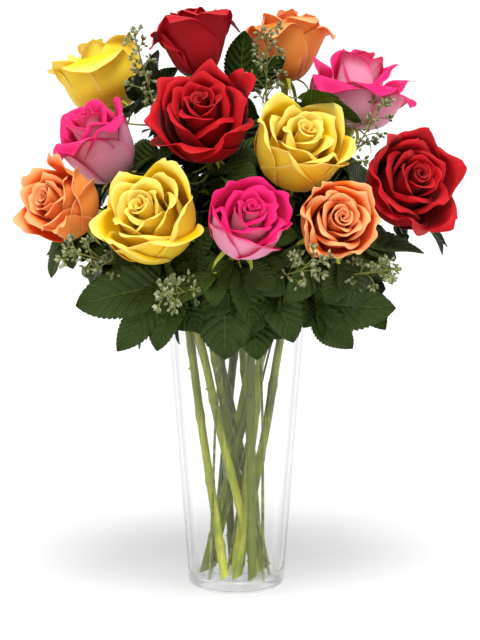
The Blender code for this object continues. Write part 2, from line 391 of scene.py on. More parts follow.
@dataclass(frozen=True)
class LeafFinish:
    """Leathery leaves with a pale midrib, side veins and a paler underside.

    Attributes:
        upper, fresh, dark: colours of the upper face, of young leaves and of its dark patches,
            which are partly the leaf's own mottling and partly painted shade.
        under: colour of the underside.
        vein: colour of the midrib and the veins.
        veins: how many pairs of side veins a blade has.
        lean: how far the side veins run forward on their way to the margin.
        relief: depth of the bump in metres.
        through: share of light that comes through, of the colour glow.
    """

    name: str = "leaf_skin"
    upper: tuple = srgb(32, 56, 6)
    fresh: tuple = srgb(58, 82, 10)
    dark: tuple = srgb(12, 28, 2)
    under: tuple = srgb(60, 78, 28)
    vein: tuple = srgb(112, 136, 50)
    glow: tuple = srgb(96, 128, 30)
    veins: float = 8.0
    lean: float = 2.1
    relief: float = 0.8 * MM
    through: float = 0.12

    def make(self) -> bpy.types.Material:
        """Builds the material from the blade's own marks.

        Returns:
            The material.
        """
        s = Shading(self.name)
        along, across, tone = s.mark("along"), s.mark("across"), s.mark("tone")
        patch = s.noise(55.0, s.place(), 3.0)
        cell = s.noise(1.0, s.join(across * 22.0, along * 40.0, tone * 30.0), 2.0)
        path = (along * self.veins - abs(across) * self.lean + patch * 0.25) % 1.0
        side_vein = s.ease(abs(path - 0.5), 0.0, 0.13, 1.0, 0.0)
        midrib = s.ease(abs(across), 0.02, 0.09, 1.0, 0.0)
        net = s.ease(cell, 0.42, 0.58)
        colour = s.blend(s.ease(tone + patch * 0.6, 0.55, 1.25), self.upper, self.fresh)
        # Random dark patches: partly the leaf's own mottling, partly painted shade that deepens the
        # blades.
        colour = s.blend(s.ease(patch - tone * 0.3, 0.26, 0.56, 0.0, 0.75), colour, self.dark)
        colour = s.blend(side_vein * 0.34, colour, self.vein)
        colour = s.blend(midrib * 0.6, colour, self.vein)
        colour = s.blend(s.mark("outer") * 0.7, colour, self.under)
        quilt = s.ease(abs(path - 0.5), 0.0, 0.42)
        relief = net * 0.2 + quilt * (1.0 - midrib) * 1.2 + (1.0 - midrib) * 0.5
        blade = s.skin(Base_Color=colour, Roughness=0.44 + (net - 0.5) * 0.12,
                       Normal=s.bump(relief, self.relief), Specular_IOR_Level=0.2)
        return s.finish(s.pierce(self.through, blade, "Translucent", self.glow))


@dataclass(frozen=True)
class SeedFinish:
    """Seeds with a grey bloom on them, or the twigs that carry them.

    Attributes:
        body, bloom, dark: colours of the skin, of the dust on it and of its patches.
        roughness: how matte it is.
        relief: depth of the bump in metres.
    """

    name: str
    body: tuple
    bloom: tuple
    dark: tuple
    roughness: float = 0.6
    relief: float = 0.15 * MM

    def make(self) -> bpy.types.Material:
        """Builds the material from Object coordinates.

        Returns:
            The material.
        """
        s = Shading(self.name)
        where = s.place()
        patch, dust, each = s.noise(260.0, where), s.noise(1500.0, where, 2.0), s.noise(90.0, where)
        colour = s.blend(s.ease(each, 0.35, 0.65), self.dark, self.body)
        colour = s.blend(s.ease(patch + dust * 0.4, 0.55, 0.95), colour, self.bloom)
        return s.finish(s.skin(Base_Color=colour, Roughness=self.roughness + (dust - 0.5) * 0.2,
                               Normal=s.bump(dust, self.relief), Specular_IOR_Level=0.4))


@dataclass(frozen=True)
class GlassFinish:
    """Clear polished glass, with the faint waves of a drawn vessel.

    Attributes:
        tint: colour of the glass seen straight on.
        slant_shade: colour of its wall seen at a slant, a painted shade that stands in for the
            darker surroundings the wall would reflect.
        clear: colour of the light that passes unbent.
        plain: share of light that passes the thick foot unbent.
        bending: the glass's index of refraction, low because the wall is one thin shell.
        waves: depth of its waves in metres.
        foot_top, wall_start: levels between which the foot turns into the wall.
    """

    name: str = "clear_glass"
    tint: tuple = (0.985, 0.99, 0.99, 1.0)
    slant_shade: tuple = (0.34, 0.36, 0.37, 1.0)
    clear: tuple = (0.97, 0.975, 0.975, 1.0)
    plain: float = 0.4
    bending: float = 1.3
    waves: float = 0.15 * MM
    foot_top: float = 8.0 * MM
    wall_start: float = 26.0 * MM

    def make(self) -> bpy.types.Material:
        """Builds the material; lamps shine through it onto what it holds.

        Returns:
            The material.
        """
        s = Shading(self.name)
        where = s.place()
        wave, film = s.streaks((16.0, 16.0, 5.0), 1.0), s.noise(140.0, where, 2.0)
        facing = s.node("ShaderNodeLayerWeight", None, {"Blend": 0.5}).outputs["Facing"]
        height = s.node("ShaderNodeSeparateXYZ", None, {0: where}).outputs[2]
        wall = s.ease(height, self.foot_top, self.wall_start)
        # Painted shade: the wall turns grey where it is seen at a slant, in place of reflected
        # darker surroundings.
        painted_slant_shade = s.ease(facing, 0.36, 1.0) * wall
        glass = s.skin(Base_Color=s.blend(painted_slant_shade, self.tint, self.slant_shade),
                       Roughness=s.ease(film, 0.4, 0.9, 0.0, 0.015),
                       Normal=s.bump(wave, self.waves), Transmission_Weight=1.0,
                       IOR=self.bending, Specular_IOR_Level=0.3)
        shadow = Value(s, s.node("ShaderNodeLightPath").outputs["Is Shadow Ray"])
        share = shadow | (1.0 - wall) * self.plain
        return s.finish(s.pierce(share, glass, "Transparent", self.clear))


@dataclass(frozen=True)
class FloorFinish:
    """A plain pale floor: a trace of mottle between two greys, and a little light of its own."""

    name: str = "studio_floor"
    dull: tuple = (0.555, 0.555, 0.555, 1.0)
    bright: tuple = (0.565, 0.565, 0.565, 1.0)
    glow: float = 0.24

    def make(self) -> bpy.types.Material:
        """Builds the material from Object coordinates.

        Returns:
            The material.
        """
        s = Shading(self.name)
        colour = s.blend(s.noise(0.8, s.place(), 2.0), self.dull, self.bright)
        return s.finish(s.skin(Base_Color=colour, Roughness=0.75, Specular_IOR_Level=0.15,
                               Emission_Color=WHITE, Emission_Strength=self.glow))


class Colour(Enum):
    """The four colours of rose, each with its petals' finish."""

    RED = PetalFinish("petals_red", deep_and_shade=srgb(84, 0, 6), face=srgb(186, 4, 20),
                      outside=srgb(172, 4, 20), foot=srgb(116, 0, 10), rim=srgb(198, 14, 28),
                      shade=srgb(128, 0, 12), glow=srgb(205, 8, 14), through=0.12, sheen=0.06)
    YELLOW = PetalFinish("petals_yellow", deep_and_shade=srgb(248, 180, 0), face=srgb(255, 226, 18),
                         outside=srgb(255, 228, 64), foot=srgb(244, 192, 56),
                         rim=srgb(255, 244, 134), shade=srgb(254, 212, 24),
                         glow=srgb(255, 220, 20), through=0.30, sheen=0.03)
    ORANGE = PetalFinish("petals_orange", deep_and_shade=srgb(232, 60, 18), face=srgb(255, 130, 36),
                         outside=srgb(255, 166, 78), foot=srgb(252, 146, 62),
                         rim=srgb(255, 206, 140), shade=srgb(252, 106, 34),
                         glow=srgb(255, 146, 44), through=0.30, sheen=0.04)
    PINK = PetalFinish("petals_pink", deep_and_shade=srgb(206, 8, 84), face=srgb(240, 28, 118),
                       outside=srgb(255, 172, 206), foot=srgb(255, 218, 230),
                       rim=srgb(240, 36, 124), shade=srgb(232, 60, 130),
                       glow=srgb(255, 120, 176), through=0.28, sheen=0.05, rim_start=0.84)


STEM = StemFinish()
LEAF = LeafFinish()
SEED = SeedFinish("seed_skin", body=srgb(108, 116, 66), bloom=srgb(168, 174, 134),
                  dark=srgb(72, 78, 36))
TWIG = SeedFinish("twig_bark", body=srgb(122, 128, 52), bloom=srgb(150, 156, 76),
                  dark=srgb(92, 84, 38))
GLASS = GlassFinish()
FLOOR = FloorFinish()


class Paints:
    """Makes each finish's material once."""

    _made: dict[str, bpy.types.Material] = {}

    @classmethod
    def of(cls, finish: Any) -> bpy.types.Material:
        """Hands out a finish's material.

        Args:
            finish: the finish.

        Returns:
            The material.
        """
        if finish.name not in cls._made:
            cls._made[finish.name] = finish.make()
        return cls._made[finish.name]


# ---------------------------------------------------------------- mesh making


class Marked:
    """Points gathered one run at a time, and the marks that they carry into a mesh."""

    def __init__(self) -> None:
        """Starts empty."""
        self.points: list[Array] = []
        self.parts: list[Any] = []
        self.marks: dict[str, list[tuple[int, Array]]] = {}
        self.count = 0

    def gather(self, points: Array, marks: dict[str, Any]) -> int:
        """Adds points.

        Args:
            points: one row each.
            marks: one number for each point or one for all; the mark "way" is a vector.

        Returns:
            The first point's number.
        """
        first, size = self.count, len(points)
        for name, value in marks.items():
            spread = np.broadcast_to(np.asarray(value, float), (size, 3) if name == "way" else size)
            self.marks.setdefault(name, []).append((first, spread))
        self.points.append(np.asarray(points, float))
        self.count += size
        return first

    def mesh(self, name: str, edges: Sequence[Any], faces: Sequence[Any]) -> bpy.types.Mesh:
        """Makes a mesh on the points, that carries the marks.

        Args:
            name: the mesh's name.
            edges, faces: its edges and faces, as point numbers.

        Returns:
            The mesh.
        """
        made = bpy.data.meshes.new(name)
        made.from_pydata(np.concatenate(self.points).tolist(), edges, faces)
        for mark, runs in self.marks.items():
            vector = mark == "way"
            values = np.zeros((self.count, 3) if vector else self.count, np.float32)
            for start, run in runs:
                values[start:start + len(run)] = run
            layer = made.attributes.new(mark, "FLOAT_VECTOR" if vector else "FLOAT", "POINT")
            layer.data.foreach_set("vector" if vector else "value", values.ravel())
        return made


class Shape(Marked):
    """Bodies with faces, gathered into one mesh; a shell's margin is a share of its thickness."""

    MARGIN = 0.35

    def add(self, points: Array, faces: Sequence[Sequence[int]], **marks: Any) -> None:
        """Adds a body.

        Args:
            points: its corners, one row each.
            faces: corner numbers from 0 within this body.
            marks: marks by name.
        """
        first = self.gather(points, marks)
        self.parts.extend([[corner + first for corner in face] for face in faces])

    def sheet(self, grid: Array, thick: float, across: Array, along: Array, **marks: Any) -> None:
        """Adds a thin closed shell on a grid of points, thinner at its margin.

        Args:
            grid: rows by columns of points; across then along turns to the face's normal.
            thick: the shell's thickness.
            across, along: the two marks at each point of the grid.
            marks: other marks, one number each.
        """
        rows, columns, _ = grid.shape
        normal = np.cross(np.gradient(grid, axis=1), np.gradient(grid, axis=0))
        normal /= np.maximum(np.linalg.norm(normal, axis=2, keepdims=True), 1e-12)
        half = np.full((rows, columns, 1), thick / 2)
        half[[0, -1]] *= self.MARGIN
        half[:, [0, -1]] *= self.MARGIN
        points = np.concatenate([(grid + normal * half).reshape(-1, 3),
                                 (grid - normal * half).reshape(-1, 3)])
        front = np.arange(rows * columns).reshape(rows, columns)
        back = front + rows * columns
        faces = [self._quads(front), self._quads(back)[:, ::-1]]
        sides = ((0, slice(None)), (slice(1, None), -1), (-1, slice(-2, None, -1)),
                 (slice(-2, 0, -1), 0))
        loop = np.concatenate([np.stack([front[side], back[side]]).T for side in sides])
        after = np.roll(loop, -1, axis=0)
        faces.append(np.stack([loop[:, 1], after[:, 1], after[:, 0], loop[:, 0]], -1))
        self.add(points, np.concatenate(faces).tolist(), across=np.tile(across.ravel(), 2),
                 along=np.tile(along.ravel(), 2), outer=np.repeat([1.0, 0.0], rows * columns),
                 **marks)

    @staticmethod
    def _quads(numbers: Array) -> Array:
        """The quads of a grid of corner numbers."""
        return np.stack([numbers[:-1, :-1], numbers[:-1, 1:], numbers[1:, 1:], numbers[1:, :-1]],
                        -1).reshape(-1, 4)

    def lathe(self, profile: Sequence[tuple[float, float]], sides: int, base: Vector,
              axis: Vector, **marks: Any) -> None:
        """Adds a turned body.

        Args:
            profile: (radius, height) from the bottom pole to the top pole, both on the axis.
            sides: how many sides it has.
            base: where height 0 lies.
            axis: its direction.
            marks: marks, one number each.
        """
        turn = np.linspace(0, 2 * math.pi, sides, endpoint=False)
        rings = [np.stack([r * np.cos(turn), r * np.sin(turn), np.full(sides, z)], -1)
                 for r, z in profile[1:-1]]
        points = np.concatenate([[(0, 0, profile[0][1])], *rings, [(0, 0, profile[-1][1])]])
        numbers = 1 + np.arange(len(rings) * sides).reshape(len(rings), sides)
        numbers = np.concatenate([numbers, numbers[:, :1]], axis=1)
        faces = self._quads(numbers).tolist()
        low, high, last = numbers[0].tolist(), numbers[-1].tolist(), len(points) - 1
        faces += [[0, b, a] for a, b in zip(low, low[1:])]
        faces += [[last, a, b] for a, b in zip(high, high[1:])]
        turned = np.array(axis.to_track_quat("Z", "Y").to_matrix())
        self.add(points @ turned.T + np.array(base), faces, **marks)

    def build(self, name: str, finish: Any) -> bpy.types.Object:
        """Makes the object.

        Args:
            name: the piece's name.
            finish: what covers it.

        Returns:
            The piece, at the origin.
        """
        mesh = self.mesh(name, [], self.parts)
        mesh.shade_smooth()
        mesh.materials.append(Paints.of(finish))
        return put(name, mesh)


def put(name: str, data: Any) -> bpy.types.Object:
    """Makes an object and puts it in the scene.

    Args:
        name: the object's name.
        data: its mesh, lamp or camera.

    Returns:
        The object, at the origin.
    """
    made = bpy.data.objects.new(name, data)
    bpy.context.scene.collection.objects.link(made)
    return made


class Maker(Nodes):
    """A Geometry Nodes tree that works on paths, with named inputs."""

    def __init__(self, name: str, inputs: dict[str, tuple[str, Any]]) -> None:
        """Starts a tree.

        Args:
            name: the tree's name.
            inputs: socket type and starting value of each named input.
        """
        super().__init__(bpy.data.node_groups.new(name, "GeometryNodeTree"))
        face = self.tree.interface
        face.new_socket("Paths", in_out="INPUT", socket_type="NodeSocketGeometry")
        for label, (kind, value) in inputs.items():
            socket = face.new_socket(label, in_out="INPUT", socket_type=kind)
            if value is not None:
                socket.default_value = value
        face.new_socket("Mesh", in_out="OUTPUT", socket_type="NodeSocketGeometry")
        self.given = self.tree.nodes.new("NodeGroupInput").outputs

    def mark(self, name: str, kind: str = "FLOAT") -> Any:
        """The socket of a mark that the paths carry."""
        made = self.node("GeometryNodeInputNamedAttribute", {"data_type": kind}, {"Name": name})
        return made.outputs[0]

    def sweep(self) -> Any:
        """Sweeps a round tube along each path, as thick as the path's girth mark.

        Returns:
            The tubes' socket.
        """
        curve = self.node("GeometryNodeMeshToCurve", None, {0: self.given["Paths"]})
        ring = self.node("GeometryNodeCurvePrimitiveCircle", None,
                         {"Resolution": self.given["Sides"], "Radius": 1.0})
        return self.node("GeometryNodeCurveToMesh", None, {
            "Curve": curve.outputs[0], "Profile Curve": ring.outputs[0],
            "Scale": self.mark("girth"), "Fill Caps": True}).outputs[0]

    def scatter(self, body: Any, low: float, high: float, grow: Any = 1.0,
                chosen: Any = True) -> Any:
        """Sets a body at the paths' points, along each point's way mark.

        Args:
            body: the body's socket, along Z.
            low, high: the least and the most of its random size.
            grow: what every size is multiplied by.
            chosen: which points get one.

        Returns:
            The socket of all the bodies.
        """
        turned = self.node("FunctionNodeAlignRotationToVector", {"axis": "Z"},
                           {"Vector": self.mark("way", "FLOAT_VECTOR")})
        size = self.node("FunctionNodeRandomValue", None,
                         {2: low, 3: high, "Seed": self.given["Seed"]})
        return self.node("GeometryNodeInstanceOnPoints", None, {
            "Points": self.given["Paths"], "Selection": chosen, "Instance": body,
            "Rotation": turned.outputs[0], "Scale": Value(self, size.outputs[1]) * grow}).outputs[0]

    def join(self, *parts: Any) -> Any:
        """Joins several parts.

        Args:
            parts: the parts' sockets.

        Returns:
            The whole's socket.
        """
        joined = self.tree.nodes.new("GeometryNodeJoinGeometry")
        for part in parts:
            self.tree.links.new(part, joined.inputs[0])
        return joined.outputs[0]

    def finish(self, *parts: Any) -> "Maker":
        """Joins the parts, makes them real and gives them the material.

        Args:
            parts: the parts' sockets.

        Returns:
            The maker.
        """
        smooth = self.node("GeometryNodeSetShadeSmooth", None, {0: self.join(*parts)})
        real = self.node("GeometryNodeRealizeInstances", None, {0: smooth.outputs[0]})
        dressed = self.node("GeometryNodeSetMaterial", None,
                            {0: real.outputs[0], "Material": self.given["Material"]})
        self.node("NodeGroupOutput", None, {0: dressed.outputs[0]})
        return self

    def bake(self, name: str, paths: "Paths", finish: Any, **values: Any) -> bpy.types.Object:
        """Runs the tree on some paths and keeps only the plain mesh.

        Args:
            name: the piece's name.
            paths: what the tree works on.
            finish: the finish that covers the piece.
            values: the named inputs, with underscores for spaces.

        Returns:
            The object, at the origin, with no modifier left.
        """
        made = put(name, paths.mesh(name + "_paths", paths.parts, []))
        modifier = made.modifiers.new("maker", "NODES")
        modifier.node_group = self.tree
        wanted = {k.replace("_", " "): v for k, v in values.items()}
        wanted["Material"] = Paints.of(finish)
        for item in self.tree.interface.items_tree:
            if item.in_out == "INPUT" and item.name in wanted:
                modifier[item.identifier] = wanted[item.name]
        view = made.evaluated_get(bpy.context.evaluated_depsgraph_get())
        plain = bpy.data.meshes.new_from_object(view)
        made.modifiers.clear()
        made.data = plain
        return made


class Paths(Marked):
    """Open paths of points, with marks on them, for a Maker."""

    def add(self, points: Array, **marks: Any) -> None:
        """Adds a path.

        Args:
            points: one row each, in order.
            marks: marks by name.
        """
        first = self.gather(points, marks)
        self.parts += [(i, i + 1) for i in range(first, self.count - 1)]


def tube_maker() -> Maker:
    """A tree that sweeps a round tube along each path.

    Returns:
        The maker, with inputs Sides and Material.
    """
    maker = Maker("tubes_along_paths", {"Sides": ("NodeSocketInt", 8),
                                        "Material": ("NodeSocketMaterial", None)})
    return maker.finish(maker.sweep())


def stalk_maker() -> Maker:
    """A tree for rose stems: a swept tube, with a thorn wherever the path's thorn mark is set.

    Returns:
        The maker, with inputs Sides, Thorn Size, Seed and Material.
    """
    maker = Maker("stalks_with_thorns", {
        "Sides": ("NodeSocketInt", 14), "Thorn Size": ("NodeSocketFloat", 2.2 * MM),
        "Seed": ("NodeSocketInt", 1), "Material": ("NodeSocketMaterial", None)})
    cone = maker.node("GeometryNodeMeshCone", None,
                      {"Vertices": 6, "Radius Top": 0.05, "Radius Bottom": 0.55, "Depth": 1.0})
    thorn = Value(maker, maker.mark("thorn"))
    thorns = maker.scatter(cone.outputs[0], 0.7, 1.15, maker.given["Thorn Size"],
                           thorn.maths("GREATER_THAN", thorn, 0.5))
    return maker.finish(maker.sweep(), thorns)


def seed_maker() -> Maker:
    """A tree that sets one small top-shaped seed at each point, along the point's way mark.

    Returns:
        The maker, with inputs Seed Width, Seed Length, Seed and Material.
    """
    maker = Maker("seeds_on_stalks", {
        "Seed Width": ("NodeSocketFloat", 2.6 * MM), "Seed Length": ("NodeSocketFloat", 3.6 * MM),
        "Seed": ("NodeSocketInt", 1), "Material": ("NodeSocketMaterial", None)})
    body = maker.node("GeometryNodeMeshUVSphere", None, {"Segments": 8, "Rings": 5, "Radius": 0.5})
    cap = maker.node("GeometryNodeMeshCone", None,
                     {"Vertices": 8, "Radius Top": 0.04, "Radius Bottom": 0.36, "Depth": 0.34})
    lifted = maker.node("GeometryNodeTransform", None,
                        {0: cap.outputs[0], "Translation": (0.0, 0.0, 0.32)})
    width, length = maker.given["Seed Width"], maker.given["Seed Length"]
    sizes = maker.node("ShaderNodeCombineXYZ", None, {0: width, 1: width, 2: length})
    shaped = maker.node("GeometryNodeTransform", None, {
        0: maker.join(body.outputs[0], lifted.outputs[0]), "Scale": sizes.outputs[0]})
    return maker.finish(maker.scatter(shaped.outputs[0], 0.75, 1.15))


# ---------------------------------------------------------------- reading the frame


def nodes_of(kind: str) -> list[str]:
    """The CAD nodes whose names start with a kind, in order."""
    return sorted(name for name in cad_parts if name.startswith(kind))


def corners(node: str) -> Array:
    """The separate corners of a CAD node."""
    points = np.array([v.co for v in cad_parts[node].data.vertices])
    return np.unique(points.round(6), axis=0)


def clusters(points: Array, gap: float) -> list[Array]:
    """Groups points that lie within a gap of each other.

    Args:
        points: one row each.
        gap: the widest step within a group.

    Returns:
        The groups, each an array of points.
    """
    near = np.linalg.norm(points[:, None] - points[None], axis=2) < gap
    left, groups = set(range(len(points))), []
    while left:
        group, front = set(), {min(left)}
        while front:
            group |= front
            front = set(np.flatnonzero(near[list(front)].any(axis=0)).tolist()) - group
        left -= group
        groups.append(points[sorted(group)])
    return groups


def centreline(node: str, gap: float, least: int) -> Array:
    """The middle of a CAD tube's rings, from the lowest up along it.

    Args:
        node: the tube's node.
        gap: a little more than the step between a ring's neighbouring corners.
        least: the fewest corners in a ring.

    Returns:
        The middles in order.
    """
    middles = [g.mean(axis=0) for g in clusters(corners(node), gap) if len(g) >= least]
    line = [min(middles, key=lambda m: m[2])]
    rest = [m for m in middles if m is not line[0]]
    while rest:
        nearest = min(range(len(rest)), key=lambda i: float(np.linalg.norm(rest[i] - line[-1])))
        line.append(rest.pop(nearest))
    return np.array(line)


def smooth_path(points: Array, count: int) -> Array:
    """Points set evenly on a smooth curve through the given ones.

    Args:
        points: the curve's own points, in order.
        count: how many points to give.

    Returns:
        The new points.
    """
    steps = np.concatenate([[0], np.cumsum(np.linalg.norm(np.diff(points, axis=0), axis=1))])
    slopes = np.gradient(points, steps, axis=0)
    wanted = np.linspace(0, steps[-1], count)
    at = np.clip(np.searchsorted(steps, wanted) - 1, 0, len(steps) - 2)
    span = (steps[at + 1] - steps[at])[:, None]
    t = ((wanted - steps[at])[:, None]) / span
    leave, arrive = t ** 3 - 2 * t ** 2 + t, t ** 3 - t ** 2
    return ((2 * t ** 3 - 3 * t ** 2 + 1) * points[at] + leave * span * slopes[at]
            + (3 * t ** 2 - 2 * t ** 3) * points[at + 1] + arrive * span * slopes[at + 1])


def walk(slope: Array) -> tuple[Array, Array]:
    """How far on and how far up a line has come, after each step of 1 at each slope."""
    on, up = (np.concatenate([[0], np.cumsum(part(slope[:-1]))]) for part in (np.cos, np.sin))
    return on, up


def stand_in(piece: bpy.types.Object, slot: str, *nodes: str) -> None:
    """Rides a finished piece on the body, in place of its CAD nodes, and reports it.

    Args:
        piece: the piece.
        slot: a material slot's name; not used.
        nodes: the CAD nodes that it stands for.
    """
    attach(piece, BODY)
    if nodes:
        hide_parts(*nodes)
    LOG.info("%s: %d faces", piece.name, len(piece.data.polygons))


# ---------------------------------------------------------------- roses


@dataclass(frozen=True)
class Fold:
    """A line on the flat petal past which the blade rolls back.

    Attributes:
        lean: direction of the line's outward normal, in degrees from the petal's tip.
        crossing: where the line crosses the midrib, as a share of the petal's length.
        radius: radius that it rolls round.
        turn: how far it rolls before it runs straight, in degrees.
    """

    lean: float
    crossing: float
    radius: float
    turn: float

    def roll(self, side: Array, rise: Array, length: float) -> tuple[Array, Array, Array]:
        """Rolls what lies past the line.

        Args:
            side, rise: places on the flat petal.
            length: the petal's length.

        Returns:
            The new side and rise, and how far each point has come off the flat.
        """
        lean, most = math.radians(self.lean), math.radians(self.turn)
        across, along = math.sin(lean), math.cos(lean)
        past = np.maximum(side * across + (rise - self.crossing * length) * along, 0.0)
        turned = np.minimum(past / self.radius, most)
        left = past - turned * self.radius
        kept = self.radius * np.sin(turned) + left * math.cos(most)
        back = self.radius * (1 - np.cos(turned)) + left * math.sin(most)
        shift = kept - past
        return side + shift * across, rise + shift * along, back


@dataclass(frozen=True)
class Petal:
    """One petal, wrapped round the bloom's axis.

    Attributes:
        azimuth: where its midrib stands, in radians round the axis.
        belly: radius of the cup at its fullest.
        rim: radius at the top.
        height: height of the top.
        half_width: half the blade's width.
        folds: how its margin rolls back.
        tuck: how much further out one side lies than the other, so that petals overlap.
        flat: how much flatter than the cup the blade is.
        ruffle, ruffles, phase: depth, number and start of the waves in the margin.
        shoulder: how far the corners drop, as a share of the length.
        ragged: how uneven the margin is, as a share of the length.
        skirt: how full the foot of the cup is.
        reach: 0 for the innermost petal, 1 for the outermost.
    """

    azimuth: float
    belly: float
    rim: float
    height: float
    half_width: float
    folds: tuple[Fold, ...] = ()
    tuck: float = 0.0
    flat: float = 1.0
    ruffle: float = 0.0
    ruffles: float = 2.0
    phase: float = 0.0
    shoulder: float = 0.26
    ragged: float = 0.0
    skirt: float = 1.2
    reach: float = 1.0

    CLAW = 3.0 * MM
    WIDEST = 0.62

    def profile(self, share: Array) -> tuple[Array, Array, Array, Array]:
        """The cup's line, with its outward normal.

        Args:
            share: the share, at each point.

        Returns:
            The radius, the height, and the two parts of the normal.
        """
        points = np.array([(self.CLAW, 0.0), (self.belly * self.skirt, -0.02 * self.height),
                           (self.belly * 1.06, 0.62 * self.height), (self.rim, self.height)])
        s = np.clip(share, 0.0, 1.2)
        weights = np.stack([(1 - s) ** 3, 3 * (1 - s) ** 2 * s, 3 * (1 - s) * s ** 2, s ** 3])
        slopes = np.stack([-3 * (1 - s) ** 2, 3 * (1 - s) ** 2 - 6 * (1 - s) * s,
                           6 * (1 - s) * s - 3 * s ** 2, 3 * s ** 2])
        radius, height = (np.tensordot(points[:, k], weights, 1) for k in (0, 1))
        out, up = (np.tensordot(points[:, k], slopes, 1) for k in (0, 1))
        size = np.hypot(out, up)
        return radius, height, up / size, -out / size

    def surface(self, u: Array, v: Array) -> Array:
        """Points of the petal.

        Args:
            u: -1 to 1 across.
            v: 0 to 1 from the claw to the margin.

        Returns:
            The points, in the bloom's own axes.
        """
        radius, height, _, _ = self.profile(np.linspace(0, 1, 40))
        length = float(np.hypot(np.diff(radius), np.diff(height)).sum())
        grow = np.sin(np.pi / 2 * np.minimum(v / self.WIDEST, 1)) ** 0.8
        close = 1 - 0.20 * (np.maximum(v - self.WIDEST, 0) / (1 - self.WIDEST)) ** 2
        side = u * self.half_width * (0.22 + 0.78 * grow) * close
        rise = v * length * (1 - self.shoulder * np.abs(u) ** 2.4 * v)
        torn = np.sin(5.1 * u + self.phase) + 0.6 * np.sin(11.3 * u + 2.3 * self.phase)
        rise = rise + self.ragged * length * torn * np.clip((v - 0.6) / 0.4, 0, 1) ** 2
        back = np.zeros_like(side)
        for fold in self.folds:
            side, rise, more = fold.roll(side, rise, length)
            back = back + more
        lip = np.clip((v - 0.55) / 0.45, 0, 1) ** 2
        back = back + self.ruffle * lip * np.sin(self.ruffles * np.pi * u + self.phase)
        radius, height, out, up = self.profile(rise / length)
        radius = radius + self.tuck * side / self.half_width * np.clip(v * 3, 0, 1)
        curve = np.maximum(radius, 1.6 * MM) * self.flat
        angle = side / curve
        x = (radius - curve) + (curve + back * out) * np.cos(angle)
        y = (curve + back * out) * np.sin(angle)
        c, s = math.cos(self.azimuth), math.sin(self.azimuth)
        return np.stack([c * x - s * y, s * x + c * y, height + back * up], -1)


@dataclass(frozen=True)
class Guard:
    """An outer petal, given one by one.

    Attributes:
        toward: where it stands, in degrees: 0 right, 90 up or back, 180 left, 270 down or front.
        top: height of its top, as a share of the bloom's height.
        spread: radius at its top, as a share of the bloom's radius.
        width: half its width, as a share of the bloom's radius.
        left, right: how far its two corners roll back, in degrees, seen from outside.
        crest: how far its top rolls back, in degrees.
        crest_at: where that roll begins, as a share of its length.
        belly: radius of its cup, as a share of the bloom's radius.
        lean, roll: where its corners roll back, in degrees from its tip, and round what, in mm.
    """

    toward: float
    top: float = 0.86
    spread: float = 1.0
    width: float = 0.92
    left: float = 150.0
    right: float = 150.0
    crest: float = 50.0
    crest_at: float = 0.82
    belly: float = 0.94
    lean: float = 38.0
    roll: float = 2.0


@dataclass(frozen=True)
class RoseForm:
    """How open a rose is and how its petals lie.

    Attributes:
        name: the name of its CAD nodes, after the kind of node.
        colour, seed: its colour, and what its random sizes come from.
        openness: how far the tops of its inner petals spread.
        petals: how many inner petals it has.
        droop: how much lower the outermost of them ends, as a share of the bloom's height.
        start: where their spiral starts, in radians.
        core: how wide they are together, as a share of the bloom's radius.
        guards: the outer petals.
        skirt: how full the foot of the outer cup is.
        sepals: how long its sepals are, against the usual.
    """

    name: str
    colour: Colour
    seed: int
    openness: float = 0.5
    petals: int = 20
    droop: float = 0.12
    start: float = 0.0
    core: float = 0.80
    guards: tuple[Guard, ...] = ()
    skirt: float = 1.2
    sepals: float = 1.0


